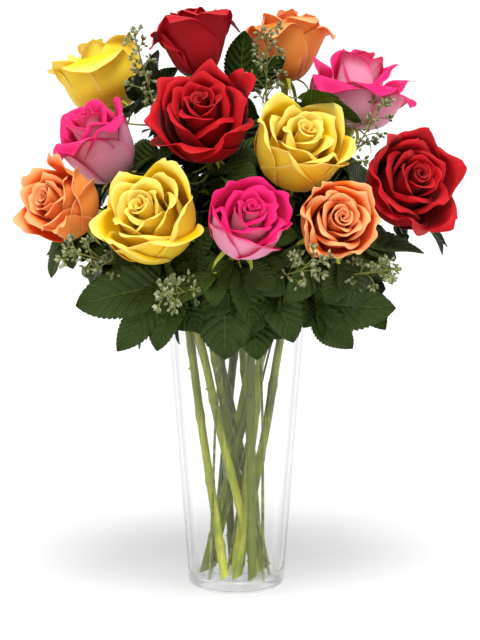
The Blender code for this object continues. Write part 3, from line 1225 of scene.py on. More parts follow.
@dataclass
class Rose:
    """A bloom of separate petals, laid where its CAD cup is.

    Attributes:
        form: how open it is and how its petals lie.
        petal_thickness: a petal's thickness.
        large_grid, small_grid: rows and columns of an outer petal and of one in the bud.
        wildness, calm: how uneven the outer margins are, by colour, and otherwise.
        base, axis, turn: foot of the bloom, the way it faces, and its axes.
        radius, height: its size.
    """

    form: RoseForm
    petal_thickness: float = 0.42 * MM
    large_grid: tuple[int, int] = (20, 21)
    small_grid: tuple[int, int] = (13, 15)
    wildness: tuple = ((Colour.RED, 1.0), (Colour.ORANGE, 0.7))
    calm: float = 0.5
    base: Vector = field(init=False)
    axis: Vector = field(init=False)
    radius: float = field(init=False)
    height: float = field(init=False)
    turn: Matrix = field(init=False)

    EYE = 0.06
    BUD = 0.3
    LARGE = 0.32
    HARD_CREST = 105.0
    TIGHT_ROLL = 2.8 * MM
    SOFT_ROLL = 5.5 * MM
    GRID_EDGE = 0.96

    def __post_init__(self) -> None:
        """Reads the bloom's place and size from its CAD nodes."""
        cup, hip = corners(f"bloom_{self.form.name}"), corners(f"calyx_{self.form.name}")
        axis = cup.mean(axis=0) - hip.mean(axis=0)
        axis /= np.linalg.norm(axis)
        rise = (cup - hip.mean(axis=0)) @ axis
        foot = hip.mean(axis=0) + axis * rise.min()
        offset = (cup - foot) - np.outer((cup - foot) @ axis, axis)
        self.axis, self.base = Vector(axis), Vector(foot)
        self.radius = float(np.linalg.norm(offset, axis=1).max())
        self.height = float(rise.max() - rise.min())
        right = Vector((1, 0, 0))
        right = (right - self.axis * right.dot(self.axis)).normalized()
        self.turn = Matrix((right, self.axis.cross(right), self.axis)).transposed()

    def place(self, points: Array) -> Array:
        """Points in the bloom's own axes, moved to the row frame."""
        return points @ np.array(self.turn).T + np.array(self.base)

    def holds(self, points: Array, grow: float = 1.0) -> Array:
        """Tests points against the bloom, taken as an egg.

        Args:
            points: one row each.
            grow: how much larger the egg is taken.

        Returns:
            For each point, whether it lies inside.
        """
        local = (points - np.array(self.base)) @ np.array(self.turn)
        out = np.hypot(local[:, 0], local[:, 1]) / (self.radius * 0.96 * grow)
        up = (local[:, 2] - self.height * 0.5) / (self.height * 0.56 * grow)
        return out ** 2 + up ** 2 < 1

    def inner_petals(self, rng: np.random.Generator) -> Iterator[Petal]:
        """The spiral of petals, from the tight bud out.

        Args:
            rng: where the random numbers come from.

        Returns:
            The petals, one by one.
        """
        form, size = self.form, self.radius
        for i in range(form.petals):
            g = i / (form.petals - 1)
            belly = size * (self.EYE + (form.core - self.EYE) * g ** 1.1)
            rim = belly * (0.70 + 0.24 * g) + size * form.openness * 0.22 * g ** 2.2
            top = self.height * (1.0 - form.droop * g ** 1.5 + rng.normal(0, 0.010))
            half = min(size * (0.30 + 0.58 * g ** 0.7), 2.5 * belly)
            azimuth = form.start + i * GOLDEN_ANGLE + rng.normal(0, 0.08)
            if g < self.BUD:
                folds = [Fold(rng.normal(0, 14), 0.93, 1.0 * MM, 70)]
            else:
                k = (g - self.BUD) / (1 - self.BUD)
                folds = [Fold(way * rng.uniform(26, 50), rng.uniform(0.94, 1.04) - 0.03 * k,
                              (0.9 + 0.8 * k) * MM, rng.uniform(40, 110) + 50 * k)
                         for way in (1, -1)]
                folds.append(Fold(rng.normal(0, 9), rng.uniform(0.82, 0.90), (3.5 + 2.5 * k) * MM,
                                  22 + 75 * k * form.openness * rng.uniform(0.5, 1.1)))
            yield Petal(azimuth, belly, rim, top, half, tuple(folds),
                        tuck=(0.9 + 1.6 * (1 - g)) * MM, flat=1.0 + 0.15 * g,
                        ruffle=(0.2 + 0.7 * g) * MM * rng.uniform(0.5, 1),
                        ruffles=rng.uniform(1.2, 2.4), phase=rng.uniform(0, 6.28),
                        shoulder=0.26 if g > self.BUD else 0.18, ragged=0.014 * g,
                        reach=g * 0.92)

    def outer_petals(self, rng: np.random.Generator) -> Iterator[Petal]:
        """The guard petals, as listed in its form.

        Args:
            rng: where the random numbers come from.

        Returns:
            The petals, one by one.
        """
        wild = dict(self.wildness).get(self.form.colour, self.calm)
        for guard in self.form.guards:
            bend = self.TIGHT_ROLL if guard.crest > self.HARD_CREST else self.SOFT_ROLL
            folds = (Fold(guard.lean + rng.uniform(-6, 10), 0.98, guard.roll * MM, guard.right),
                     Fold(-guard.lean - rng.uniform(-6, 10), 0.98, guard.roll * MM, guard.left),
                     Fold(rng.normal(0, 6), guard.crest_at, bend, guard.crest))
            yield Petal(math.radians(guard.toward), self.radius * guard.belly,
                        self.radius * guard.spread, self.height * guard.top,
                        self.radius * guard.width, folds, tuck=1.0 * MM, flat=1.03,
                        ruffle=1.2 * wild * MM, ruffles=rng.uniform(1.6, 3.2),
                        phase=rng.uniform(0, 6.28), ragged=0.022 * wild,
                        skirt=self.form.skirt, reach=1.0)

    def build(self) -> None:
        """Makes the bloom, in place of the CAD one."""
        rng = np.random.default_rng(self.form.seed)
        shape = Shape()
        for petal in [*self.inner_petals(rng), *self.outer_petals(rng)]:
            rows, columns = self.large_grid if petal.reach > self.LARGE else self.small_grid
            v = 1 - (1 - np.linspace(0, 1, rows)) ** 1.7
            u = np.sin(np.linspace(-1, 1, columns) * math.pi / 2 * self.GRID_EDGE)
            across, along = np.meshgrid(u / math.sin(math.pi / 2 * self.GRID_EDGE), v)
            points = self.place(petal.surface(across, along).reshape(-1, 3))
            shape.sheet(points.reshape(rows, columns, 3), self.petal_thickness, across, along,
                        reach=petal.reach, tone=rng.random())
        stand_in(shape.build(f"rose_{self.form.name}", self.form.colour.value),
                 self.form.colour.value.name, f"bloom_{self.form.name}")


@dataclass
class Calyx:
    """The hip under a bloom and its five narrow sepals, which start a little out and up."""

    rose: Rose
    sepal_length: float = 26.0 * MM
    sepal_width: float = 5.2 * MM
    sepal_thickness: float = 0.6 * MM
    sepal_start: tuple[float, float] = (3.0 * MM, 0.4 * MM)
    sepals: int = 5
    hip_radius: float = 4.6 * MM
    hip_length: float = 9.0 * MM

    def sepal(self, number: int, rng: np.random.Generator) -> tuple[Array, Array, Array]:
        """Shapes one sepal.

        Args:
            number: its place round the hip.
            rng: where the random numbers come from.

        Returns:
            Its grid of points, and the across and along of each.
        """
        v = np.linspace(0, 1, 16)
        length = self.sepal_length * self.rose.form.sepals * rng.uniform(0.75, 1.25)
        slope = math.radians(rng.uniform(-10, 12)) - np.radians(rng.uniform(50, 120)) * v ** 1.1
        on, rise = walk(slope)
        step = length / (len(v) - 1)
        out, up = self.sepal_start[0] + on * step, self.sepal_start[1] + rise * step
        width = self.sepal_width / 2 * np.maximum((1 - v) ** 0.9, 0.06) * (0.75 + 0.8 * v)
        sway = rng.uniform(-0.12, 0.12) * length * v ** 2
        u = np.linspace(-1, 1, 5)
        across, along = np.meshgrid(u, v)
        side = across * width[:, None] + sway[:, None]
        lift = np.abs(across) * width[:, None] * 0.45
        x = out[:, None] - np.sin(slope)[:, None] * lift
        z = up[:, None] + np.cos(slope)[:, None] * lift
        turn = number * 2 * math.pi / self.sepals + rng.uniform(-0.2, 0.2)
        c, s = math.cos(turn), math.sin(turn)
        return np.stack([c * x - s * side, s * x + c * side, z], -1), across, along

    def build(self) -> None:
        """Makes the calyx, in place of the CAD one."""
        rng = np.random.default_rng(self.rose.form.seed + 500)
        shape = Shape()
        r, h = self.hip_radius, self.hip_length
        profile = [(0, -h), (r * 0.62, -h), (r * 0.74, -h * 0.86), (r * 0.98, -h * 0.55),
                   (r, -h * 0.30), (r * 0.86, -h * 0.08), (r * 0.80, h * 0.06), (0, h * 0.12)]
        tone = rng.random() * 0.4
        shape.lathe(profile, 20, self.rose.base + self.rose.axis * 0.6 * MM, self.rose.axis,
                    tone=tone, joint=0.0)
        for number in range(self.sepals):
            grid, across, along = self.sepal(number, rng)
            points = self.rose.place(grid.reshape(-1, 3)).reshape(grid.shape)
            shape.sheet(points, self.sepal_thickness, across, along, tone=tone, joint=0.0)
        stand_in(shape.build(f"sepals_{self.rose.form.name}", STEM), "stem_green",
                 f"calyx_{self.rose.form.name}")


@dataclass
class Stalk:
    """A rose's stem: waxy, knuckled where leaves grew, thorned, and cut aslant at its foot."""

    rose: Rose
    maker: Maker
    girth: float = 3.3 * MM
    thorn_size: float = 5.6 * MM
    knuckle_swell: float = 0.24
    knuckle_reach: float = 0.010
    points: int = 72
    line: Array = field(init=False)

    def __post_init__(self) -> None:
        """Reads the stem's middle line from its CAD node."""
        rings = centreline(f"stem_{self.rose.form.name}", 2.6 * MM, 6)
        top = np.array(self.rose.base - self.rose.axis * 6.0 * MM)
        self.line = smooth_path(np.concatenate([rings, [top]]), self.points)

    def free(self) -> Array:
        """The points of its line above the mouth."""
        return self.line[self.line[:, 2] > MOUTH_LEVEL + 6 * MM]

    def build(self) -> None:
        """Makes the stem, in place of the CAD one."""
        rng = np.random.default_rng(self.rose.form.seed + 900)
        share = np.linspace(0, 1, self.points)
        girth = self.girth * (1.06 - 0.14 * share + 0.03 * np.sin(share * 17 + rng.random() * 6))
        joint = np.zeros(self.points)
        knuckles = np.arange(rng.uniform(0.06, 0.16), 0.95, rng.uniform(0.15, 0.20))
        for knuckle in knuckles:
            bulge = np.exp(-((share - knuckle) / self.knuckle_reach) ** 2)
            girth = girth * (1 + self.knuckle_swell * bulge)
            joint = np.maximum(joint, bulge * 0.7)
        thorn = (rng.random(self.points) < 0.12) & (share > 0.04) & (share < 0.93)
        way = rng.normal(size=(self.points, 3)) * (1, 1, 0.15)
        way /= np.linalg.norm(way, axis=1, keepdims=True)
        paths = Paths()
        paths.add(self.line, girth=girth, thorn=thorn.astype(float), way=way, joint=joint,
                  tone=np.full(self.points, rng.random()))
        piece = self.maker.bake(f"stalk_{self.rose.form.name}", paths, STEM,
                                Thorn_Size=self.thorn_size, Seed=self.rose.form.seed)
        self.cut_foot(piece)
        stand_in(piece, "stem_green", f"stem_{self.rose.form.name}")

    def cut_foot(self, piece: bpy.types.Object) -> None:
        """Shears the lowest ring, so that the foot is cut aslant and stays above the glass.

        Args:
            piece: the stem.
        """
        low = Vector(self.line[0])
        for vertex in piece.data.vertices:
            off = vertex.co - low
            if off.length < self.girth * 1.5:
                vertex.co.z += (off.x * 0.9 + self.girth) * 0.8


ROSES = (
    RoseForm("orange_left", Colour.ORANGE, 11, 0.35, 16, 0.06, 0.4, 0.72, (
        Guard(62, 1.10, 0.94, 0.62, 120, 150, 30), Guard(300, 0.98, 1.02, 0.50, 60, 90, 60),
        Guard(8, 0.88, 0.88, 1.05, 70, 60, 50, 0.9),
        Guard(336, 0.78, 0.88, 1.05, 60, 50, 60, 0.9),
        Guard(200, 0.90, 0.92, 0.80, 120, 120, 50), Guard(130, 0.90, 0.92, 0.80, 120, 90, 50))),
    RoseForm("pink_left", Colour.PINK, 12, 0.20, 14, 0.05, 1.4, 0.58, (
        Guard(246, 1.00, 0.90, 0.90, 40, 120, 160, 0.82, 0.74),
        Guard(312, 0.96, 0.88, 0.92, 120, 40, 150, 0.84, 0.74),
        Guard(203, 0.94, 1.06, 0.70, 80, 120, 165, 0.76, 0.78),
        Guard(15, 0.94, 0.84, 0.90, 120, 60, 50, 0.9, 0.80),
        Guard(120, 0.96, 0.88, 0.90, 90, 100, 100, 0.86, 0.80),
        Guard(272, 0.78, 0.80, 0.88, 60, 170, 60, 0.9, 0.78))),
    RoseForm("yellow_top_left", Colour.YELLOW, 13, 0.30, 14, 0.10, 2.1, 0.70, (
        Guard(258, 0.86, 0.90, 1.10, 60, 40, 172, 0.72, 1.0),
        Guard(318, 0.94, 0.92, 0.86, 175, 50, 150, 0.86, 1.0),
        Guard(208, 0.84, 1.02, 0.82, 150, 120, 60), Guard(168, 0.92, 0.98, 0.75, 120, 150, 70),
        Guard(95, 0.88, 0.92, 0.90), Guard(15, 0.84, 0.94, 0.85, 100, 120, 90, 0.86))),
    RoseForm("red_top", Colour.RED, 14, 0.60, 15, 0.05, 0.8, 0.60, (
        Guard(243, 0.96, 1.12, 1.00, 100, 90, 125, 0.84, 0.62),
        Guard(310, 1.00, 1.14, 0.90, 90, 110, 110, 0.84, 0.62),
        Guard(184, 0.86, 1.16, 0.60, 120, 120, 150, 0.76, 0.70),
        Guard(6, 0.96, 1.04, 0.74, 60, 60, 150, 0.80, 0.66),
        Guard(60, 1.00, 1.08, 0.85, 120, 120, 90, 0.84, 0.66),
        Guard(125, 0.98, 1.08, 0.85, 120, 120, 90, 0.84, 0.66)), 1.0),
    RoseForm("orange_top", Colour.ORANGE, 15, 0.60, 15, 0.06, 1.9, 0.60, (
        Guard(248, 0.94, 1.08, 0.85, 150, 110, 160, 0.76, 0.68),
        Guard(298, 1.00, 1.02, 0.74, 175, 140, 120, 0.82, 0.68),
        Guard(190, 0.94, 1.24, 0.58, 120, 150, 160, 0.74, 0.72),
        Guard(342, 0.92, 1.18, 0.75, 140, 150, 140, 0.80, 0.70),
        Guard(45, 1.00, 1.06, 0.85, 120, 150, 80, 0.84, 0.74),
        Guard(120, 1.00, 1.08, 0.85, 150, 120, 80, 0.84, 0.74)), 1.05, 1.3),
    RoseForm("pink_top_right", Colour.PINK, 16, 0.35, 14, 0.04, 2.7, 0.58, (
        Guard(236, 0.76, 1.06, 1.05, 90, 110, 170, 0.72, 0.94),
        Guard(292, 0.72, 1.00, 1.02, 80, 60, 165, 0.78, 0.94),
        Guard(342, 0.70, 1.22, 0.85, 60, 110, 140, 0.76, 0.96),
        Guard(20, 0.84, 1.02, 0.80, 120, 120, 80),
        Guard(95, 0.90, 0.92, 0.90), Guard(160, 0.84, 0.98, 0.85))),
    RoseForm("red_right", Colour.RED, 17, 0.50, 17, 0.12, 3.3, 0.76, (
        Guard(146, 1.06, 0.98, 0.85, 100, 150, 35, 0.9),
        Guard(318, 0.72, 1.34, 0.85, 160, 170, 50, 0.86),
        Guard(258, 0.78, 0.96, 1.10, 90, 120, 50, 0.88), Guard(20, 0.84, 1.00, 0.90, 120, 150, 60),
        Guard(205, 0.86, 0.94, 1.00, 90, 60, 50, 0.9), Guard(80, 0.84, 0.94, 0.90))),
    RoseForm("orange_low_right", Colour.ORANGE, 18, 0.40, 18, 0.10, 0.2, 0.78, (
        Guard(232, 0.80, 1.10, 0.42, 120, 60, 50, 0.86),
        Guard(285, 0.76, 0.92, 1.05, 120, 150, 40, 0.9),
        Guard(345, 0.82, 0.96, 0.92, 100, 170, 40, 0.9),
        Guard(195, 0.82, 0.92, 0.90, 120, 120, 50, 0.9),
        Guard(128, 0.92, 0.96, 0.66, 170, 120, 30, 0.9), Guard(50, 0.82, 0.96, 0.85)), 1.2, 1.4),
    RoseForm("pink_low_centre", Colour.PINK, 19, 0.30, 16, 0.08, 1.2, 0.74, (
        Guard(258, 0.84, 0.88, 1.28, 20, 40, 60, 0.90),
        Guard(322, 0.84, 0.88, 1.05, 40, 60, 50, 0.9),
        Guard(203, 0.84, 0.88, 1.00, 40, 30, 60, 0.88),
        Guard(22, 0.94, 0.98, 0.84, 50, 90, 30, 0.9),
        Guard(140, 0.86, 0.92, 0.96, 50, 40, 40, 0.9),
        Guard(80, 0.88, 0.92, 0.96, 40, 50, 40, 0.9)), 1.2, 1.5),
    RoseForm("yellow_low_left", Colour.YELLOW, 20, 0.40, 16, 0.08, 2.4, 0.72, (
        Guard(52, 1.04, 1.04, 1.00, 90, 150, 35, 0.9),
        Guard(334, 0.92, 0.96, 0.98, 178, 60, 40, 0.9),
        Guard(282, 0.86, 0.90, 1.22, 20, 90, 30, 0.92),
        Guard(236, 0.90, 0.92, 0.90, 60, 170, 30, 0.9),
        Guard(188, 0.82, 1.02, 0.70, 150, 150, 40), Guard(122, 0.82, 0.94, 0.90))),
    RoseForm("yellow_right_centre", Colour.YELLOW, 21, 0.30, 16, 0.05, 0.9, 0.70, (
        Guard(194, 1.04, 1.02, 0.80, 160, 178, 40, 0.92),
        Guard(242, 0.96, 0.90, 0.85, 40, 170, 30, 0.92),
        Guard(290, 0.88, 0.88, 1.25, 20, 50, 40, 0.92),
        Guard(345, 0.98, 1.02, 0.82, 100, 178, 40, 0.9),
        Guard(50, 0.88, 0.94, 0.85), Guard(125, 0.88, 0.94, 0.85))),
    RoseForm("red_centre", Colour.RED, 22, 0.42, 17, 0.10, 1.6, 0.76, (
        Guard(252, 0.74, 0.94, 1.18, 60, 40, 90, 0.86), Guard(28, 0.98, 1.12, 0.66, 120, 178, 30),
        Guard(312, 0.80, 0.94, 0.98, 90, 150, 40, 0.9), Guard(192, 0.82, 1.00, 0.92, 120, 120, 50),
        Guard(140, 0.82, 0.96, 0.90), Guard(80, 0.82, 0.96, 0.90))),
)


# ---------------------------------------------------------------- leaves


@dataclass(frozen=True)
class Blade:
    """One serrated leaf blade.

    Attributes:
        root: where its midrib starts.
        along, face: the ways of its midrib and of its upper face.
        length, width: its size.
        droop: how far its tip bends down, in degrees.
        fold: how far its halves rise from the midrib, in degrees.
        wave, phase: depth and start of the waves in its margin.
        teeth: how many teeth each margin has.
        relief: how far the blade rises between its veins.
    """

    root: Vector
    along: Vector
    face: Vector
    length: float
    width: float
    droop: float = 30.0
    fold: float = 16.0
    wave: float = 1.4 * MM
    phase: float = 0.0
    teeth: int = 17
    relief: float = 0.35 * MM

    def grid(self) -> tuple[Array, Array, Array]:
        """Lays the blade's grid, three rows to a tooth.

        Returns:
            The points, and the across and along of each.
        """
        tooth = np.arange(self.teeth)[:, None] + np.array([0.0, 0.52, 0.94])
        v = np.append(tooth.ravel() / self.teeth, 1.0)
        across, along = np.meshgrid(np.linspace(-1, 1, 9), v)
        return self.surface(across, along), across, along

    def surface(self, u: Array, v: Array) -> Array:
        """Points of the blade.

        Args:
            u: -1 to 1 across.
            v: 0 to 1 from the root to the tip.

        Returns:
            The points.
        """
        steps = np.linspace(0, 1, 50)
        on, up = (run * self.length / 49 for run in walk(-np.radians(self.droop) * steps))
        x, z = np.interp(v, steps, on), np.interp(v, steps, up)
        outline = v ** 0.62 * np.maximum(1 - v, 0) ** 0.82 / 0.3706
        bite = np.mod(v * self.teeth, 1.0)
        half = self.width / 2 * np.maximum(outline, 0.03)
        half = half * (1 + 0.09 * (bite - 0.5) * np.abs(u) ** 10)
        side = u * half
        rise = np.abs(side) * math.tan(math.radians(self.fold)) * (1.15 - 0.5 * v)
        flutter = np.sin(v * 9.0 + self.phase + 1.2 * np.sign(u))
        rise += self.wave * flutter * np.abs(u) ** 2 * outline
        between = np.abs(np.sin(math.pi * (v * LEAF.veins - np.abs(u) * LEAF.lean)))
        rise += self.relief * between * np.sin(math.pi * np.abs(u) ** 0.8)
        angle = -np.radians(self.droop) * v
        ahead, up = np.array(self.along), np.array(self.face)
        across = np.array(self.along.cross(self.face))
        normal = -np.sin(angle)[..., None] * ahead + np.cos(angle)[..., None] * up
        return (np.array(self.root) + x[..., None] * ahead + z[..., None] * up
                + side[..., None] * across + rise[..., None] * normal)


@dataclass
class Foliage:
    """All the rose leaves: those of the CAD, and the ones that fill in round them.

    Attributes:
        roses, stalks: what the leaves miss, and what they grow from.
        tubes: what sweeps their ribs.
        thickness: a blade's thickness.
        rib: radius of a rib.
        turned: the CAD leaf that is turned about its face, and by how many degrees.
        gap_tries, stem_tries: how often a place is tried before it is left empty.
        gaps: middles of the gaps between blooms, in mm.
    """

    roses: list[Rose]
    stalks: list[Stalk]
    tubes: Maker
    thickness: float = 0.5 * MM
    rib: float = 0.8 * MM
    turned: tuple = ("leaf_upper_right", 60.0)
    gap_tries: int = 60
    stem_tries: int = 40
    gaps: tuple = ((-78, 12, 350), (-64, 16, 332), (-90, 6, 326), (-50, 8, 304), (-34, 20, 372),
                   (34, 20, 352), (62, 12, 330), (84, 20, 342), (-12, 6, 300), (20, -4, 296))

    GLASS_REACH = 60.0 * MM

    def clear(self, blade: Blade, grow: float = 1.0) -> bool:
        """Tests that a blade misses the blooms and the glass and stays in the bouquet's box.

        Args:
            blade: the blade.
            grow: how much larger the blooms are taken.

        Returns:
            Whether it is clear.
        """
        u, v = np.meshgrid(np.linspace(-1, 1, 5), np.linspace(0.05, 1, 8))
        points = blade.surface(u, v).reshape(-1, 3)
        if any(rose.holds(points, grow).any() for rose in self.roses):
            return False
        low, high = (np.array(c) for c in CAD_BOX)
        if (points < low - 2 * MM).any() or (points > high + 2 * MM).any():
            return False
        around = np.hypot(points[:, 0], points[:, 1])
        below = points[:, 2] < MOUTH_LEVEL + 4 * MM
        return not (below & (around < self.GLASS_REACH)).any()

    def lay(self, shape: Shape, blade: Blade, tone: float) -> None:
        """Adds a blade to a shape.

        Args:
            shape: the shape.
            blade: the blade.
            tone: how fresh its green is, from 0 to 1.
        """
        grid, across, along = blade.grid()
        shape.sheet(grid, self.thickness, across, along, tone=tone)

    def cad_blade(self, name: str, rng: np.random.Generator) -> Blade:
        """Lays a blade where a CAD leaf is, and draws it back until it is clear.

        Args:
            name: the CAD node.
            rng: where the random numbers come from.

        Returns:
            The blade.
        """
        points = corners(name)
        middle = points.mean(axis=0)
        _, _, ways = np.linalg.svd(points - middle, full_matrices=False)
        along, face = Vector(ways[0]), Vector(ways[2])
        spread = (points - middle) @ ways[0]
        if (middle - np.array(BOUQUET_HEART)) @ ways[0] < 0:
            along, spread = -along, -spread
        if face.dot(Vector(middle) - Vector((0, 0.02, 0.20))) < 0:
            face = -face
        if name == self.turned[0]:
            along = Matrix.Rotation(math.radians(self.turned[1]), 3, face) @ along
        width = np.ptp((points - middle) @ ways[1])
        root = Vector(middle) + along * float(spread.min()) + face * 2 * MM
        blade = Blade(root, along, face, float(np.ptp(spread)) * 1.02, float(width) * 1.05,
                      droop=rng.uniform(18, 40), fold=rng.uniform(8, 20), phase=rng.uniform(0, 6))
        for _ in range(8):
            if self.clear(blade, 1.05):
                break
            blade = replace(blade, root=blade.root + self.away(blade) * 2.5 * MM,
                            length=blade.length * 0.95, width=blade.width * 0.96)
        return blade

    def away(self, blade: Blade) -> Vector:
        """Finds the way out from the bloom nearest to a blade's middle.

        Args:
            blade: the blade.

        Returns:
            The way, one long.
        """
        middle = blade.root + blade.along * blade.length * 0.5
        near = min(self.roses, key=lambda r: (r.base + r.axis * r.height / 2 - middle).length)
        return (middle - near.base - near.axis * near.height / 2).normalized()

    def side_blades(self, main: Blade, rng: np.random.Generator) -> Iterator[Blade]:
        """Two smaller leaflets beside a main one, where there is room.

        Args:
            main: the main blade.
            rng: where the random numbers come from.

        Returns:
            The leaflets.
        """
        for way in (1, -1):
            for attempt in range(6):
                turn = Matrix.Rotation(math.radians(way * (48 + 9 * attempt)), 3, main.face)
                tilt = Matrix.Rotation(math.radians(rng.uniform(-25, 15)), 3, main.along)
                along = (turn @ main.along).normalized()
                face = (tilt @ main.face).normalized()
                face = (face - along * face.dot(along)).normalized()
                root = main.root + main.along * (2 * MM) + along * 3 * MM - main.face * 2 * MM
                small = Blade(root, along, face, main.length * rng.uniform(0.66, 0.82),
                              main.width * rng.uniform(0.66, 0.80), rng.uniform(15, 40),
                              rng.uniform(10, 24), phase=rng.uniform(0, 6))
                if self.clear(small, 1.03):
                    yield small
                    break

    @staticmethod
    def aim(out: Vector, lean: Vector, loose: float, pull: float,
            rng: np.random.Generator) -> tuple[Vector, Vector]:
        """Picks which way a leaf lies.

        Args:
            out: the way out of the bouquet.
            lean: what else its face turns towards.
            loose: how far the face may stray.
            pull: how strongly its midrib points out.
            rng: where its random numbers come from.

        Returns:
            The ways of its midrib and of its face.
        """
        face = (out + lean + Vector(rng.normal(size=3)) * loose).normalized()
        way = Vector(rng.normal(size=3)) + out * pull
        return (way - face * way.dot(face)).normalized(), face

    def sag(self, ribs: Paths, start: Array, span: Array, face: Vector, drop: float,
            count: int) -> None:
        """Adds a sagging rib.

        Args:
            ribs: what the rib is added to.
            start, span: where it starts, and the way to its end.
            face: the way that it sags away from.
            drop: four times how far it sags.
            count: how many points it has.
        """
        share = np.linspace(0, 1, count)[:, None]
        ribs.add(start + share * span - drop * share * (1 - share) * np.array(face), girth=self.rib)

    def dress(self, leaves: str, shape: Shape, rib: str, ribs: Paths) -> None:
        """Makes the pieces of some leaves and of their ribs.

        Args:
            leaves, rib: the pieces' names.
            shape: the leaves.
            ribs: the lines of their ribs.
        """
        stand_in(shape.build(leaves, LEAF), "leaf_green")
        stand_in(self.tubes.bake(rib, ribs, STEM, Sides=6), "stem_green")

    def build_cad_leaf(self, name: str, seed: int) -> None:
        """Makes the blade and side leaflets that stand for one CAD leaf.

        Args:
            name: the CAD node.
            seed: what its random sizes come from.
        """
        rng = np.random.default_rng(seed)
        shape = Shape()
        main = self.cad_blade(name, rng)
        self.lay(shape, main, rng.random())
        for blade in self.side_blades(main, rng):
            self.lay(shape, blade, rng.random())
        stand_in(shape.build(name.replace("leaf_", "leaves_"), LEAF), "leaf_green", name)

    def build_gap_leaves(self) -> None:
        """Makes single leaves that close the gaps between blooms, each on a rib from a stem."""
        rng = np.random.default_rng(77)
        shape, ribs = Shape(), Paths()
        free = np.concatenate([stalk.free() for stalk in self.stalks])
        for gap in self.gaps:
            for _ in range(self.gap_tries):
                target = Vector(gap) * MM + Vector(rng.normal(size=3)) * 4 * MM
                way, face = self.aim((target - BOUQUET_HEART).normalized(),
                                     Vector((0, -1.0, 0.2)), 0.25, 1.0, rng)
                length = rng.uniform(40, 52) * MM
                blade = Blade(target - way * length * 0.45, way, face, length, length * 0.68,
                              rng.uniform(10, 30), rng.uniform(8, 20), phase=rng.uniform(0, 6))
                if self.clear(blade, 1.0):
                    self.lay(shape, blade, rng.random())
                    root = np.array(blade.root)
                    near = free[np.argmin(np.linalg.norm(free - root, axis=1))]
                    self.sag(ribs, near, root - near, face, 10 * MM, 10)
                    break
            else:
                LOG.info("no room for a leaf at %s", gap)
        self.dress("gap_leaves", shape, "gap_leaf_ribs", ribs)

    def build_stem_leaves(self, stalk: Stalk, seed: int) -> None:
        """Makes the compound leaves that grow from a stem above the mouth, where there is room.

        Args:
            stalk: the stem.
            seed: what their random sizes come from.
        """
        rng = np.random.default_rng(seed)
        shape, ribs = Shape(), Paths()
        free = stalk.free()
        shares = [*np.linspace(0.03, 0.97, 15), 0.62, 0.74, 0.86]
        for share, size in zip(shares, (1.0, 0.66) * 9):
            start = Vector(free[int(share * (len(free) - 1))])
            for _ in range(self.stem_tries):
                out = (start - BOUQUET_HEART + Vector(rng.normal(size=3)) * 12 * MM).normalized()
                way, face = self.aim(out, Vector((0, 0, 0.45)), 0.35, 0.7, rng)
                reach = rng.uniform(8, 34) * MM * size
                tip = Blade(start + way * reach, way, face, rng.uniform(36, 54) * MM * size,
                            rng.uniform(25, 35) * MM * size, rng.uniform(10, 45),
                            rng.uniform(6, 22), phase=rng.uniform(0, 6))
                if self.clear(tip, 1.06):
                    self.lay(shape, tip, rng.random())
                    self.sag(ribs, np.array(start), reach * np.array(way), face, 4 * MM, 8)
                    for side in self.side_blades(tip, rng):
                        self.lay(shape, side, rng.random())
                    break
        if shape.count:
            name = stalk.rose.form.name
            self.dress(f"stem_leaves_{name}", shape, f"leaf_ribs_{name}", ribs)


# ---------------------------------------------------------------- eucalyptus


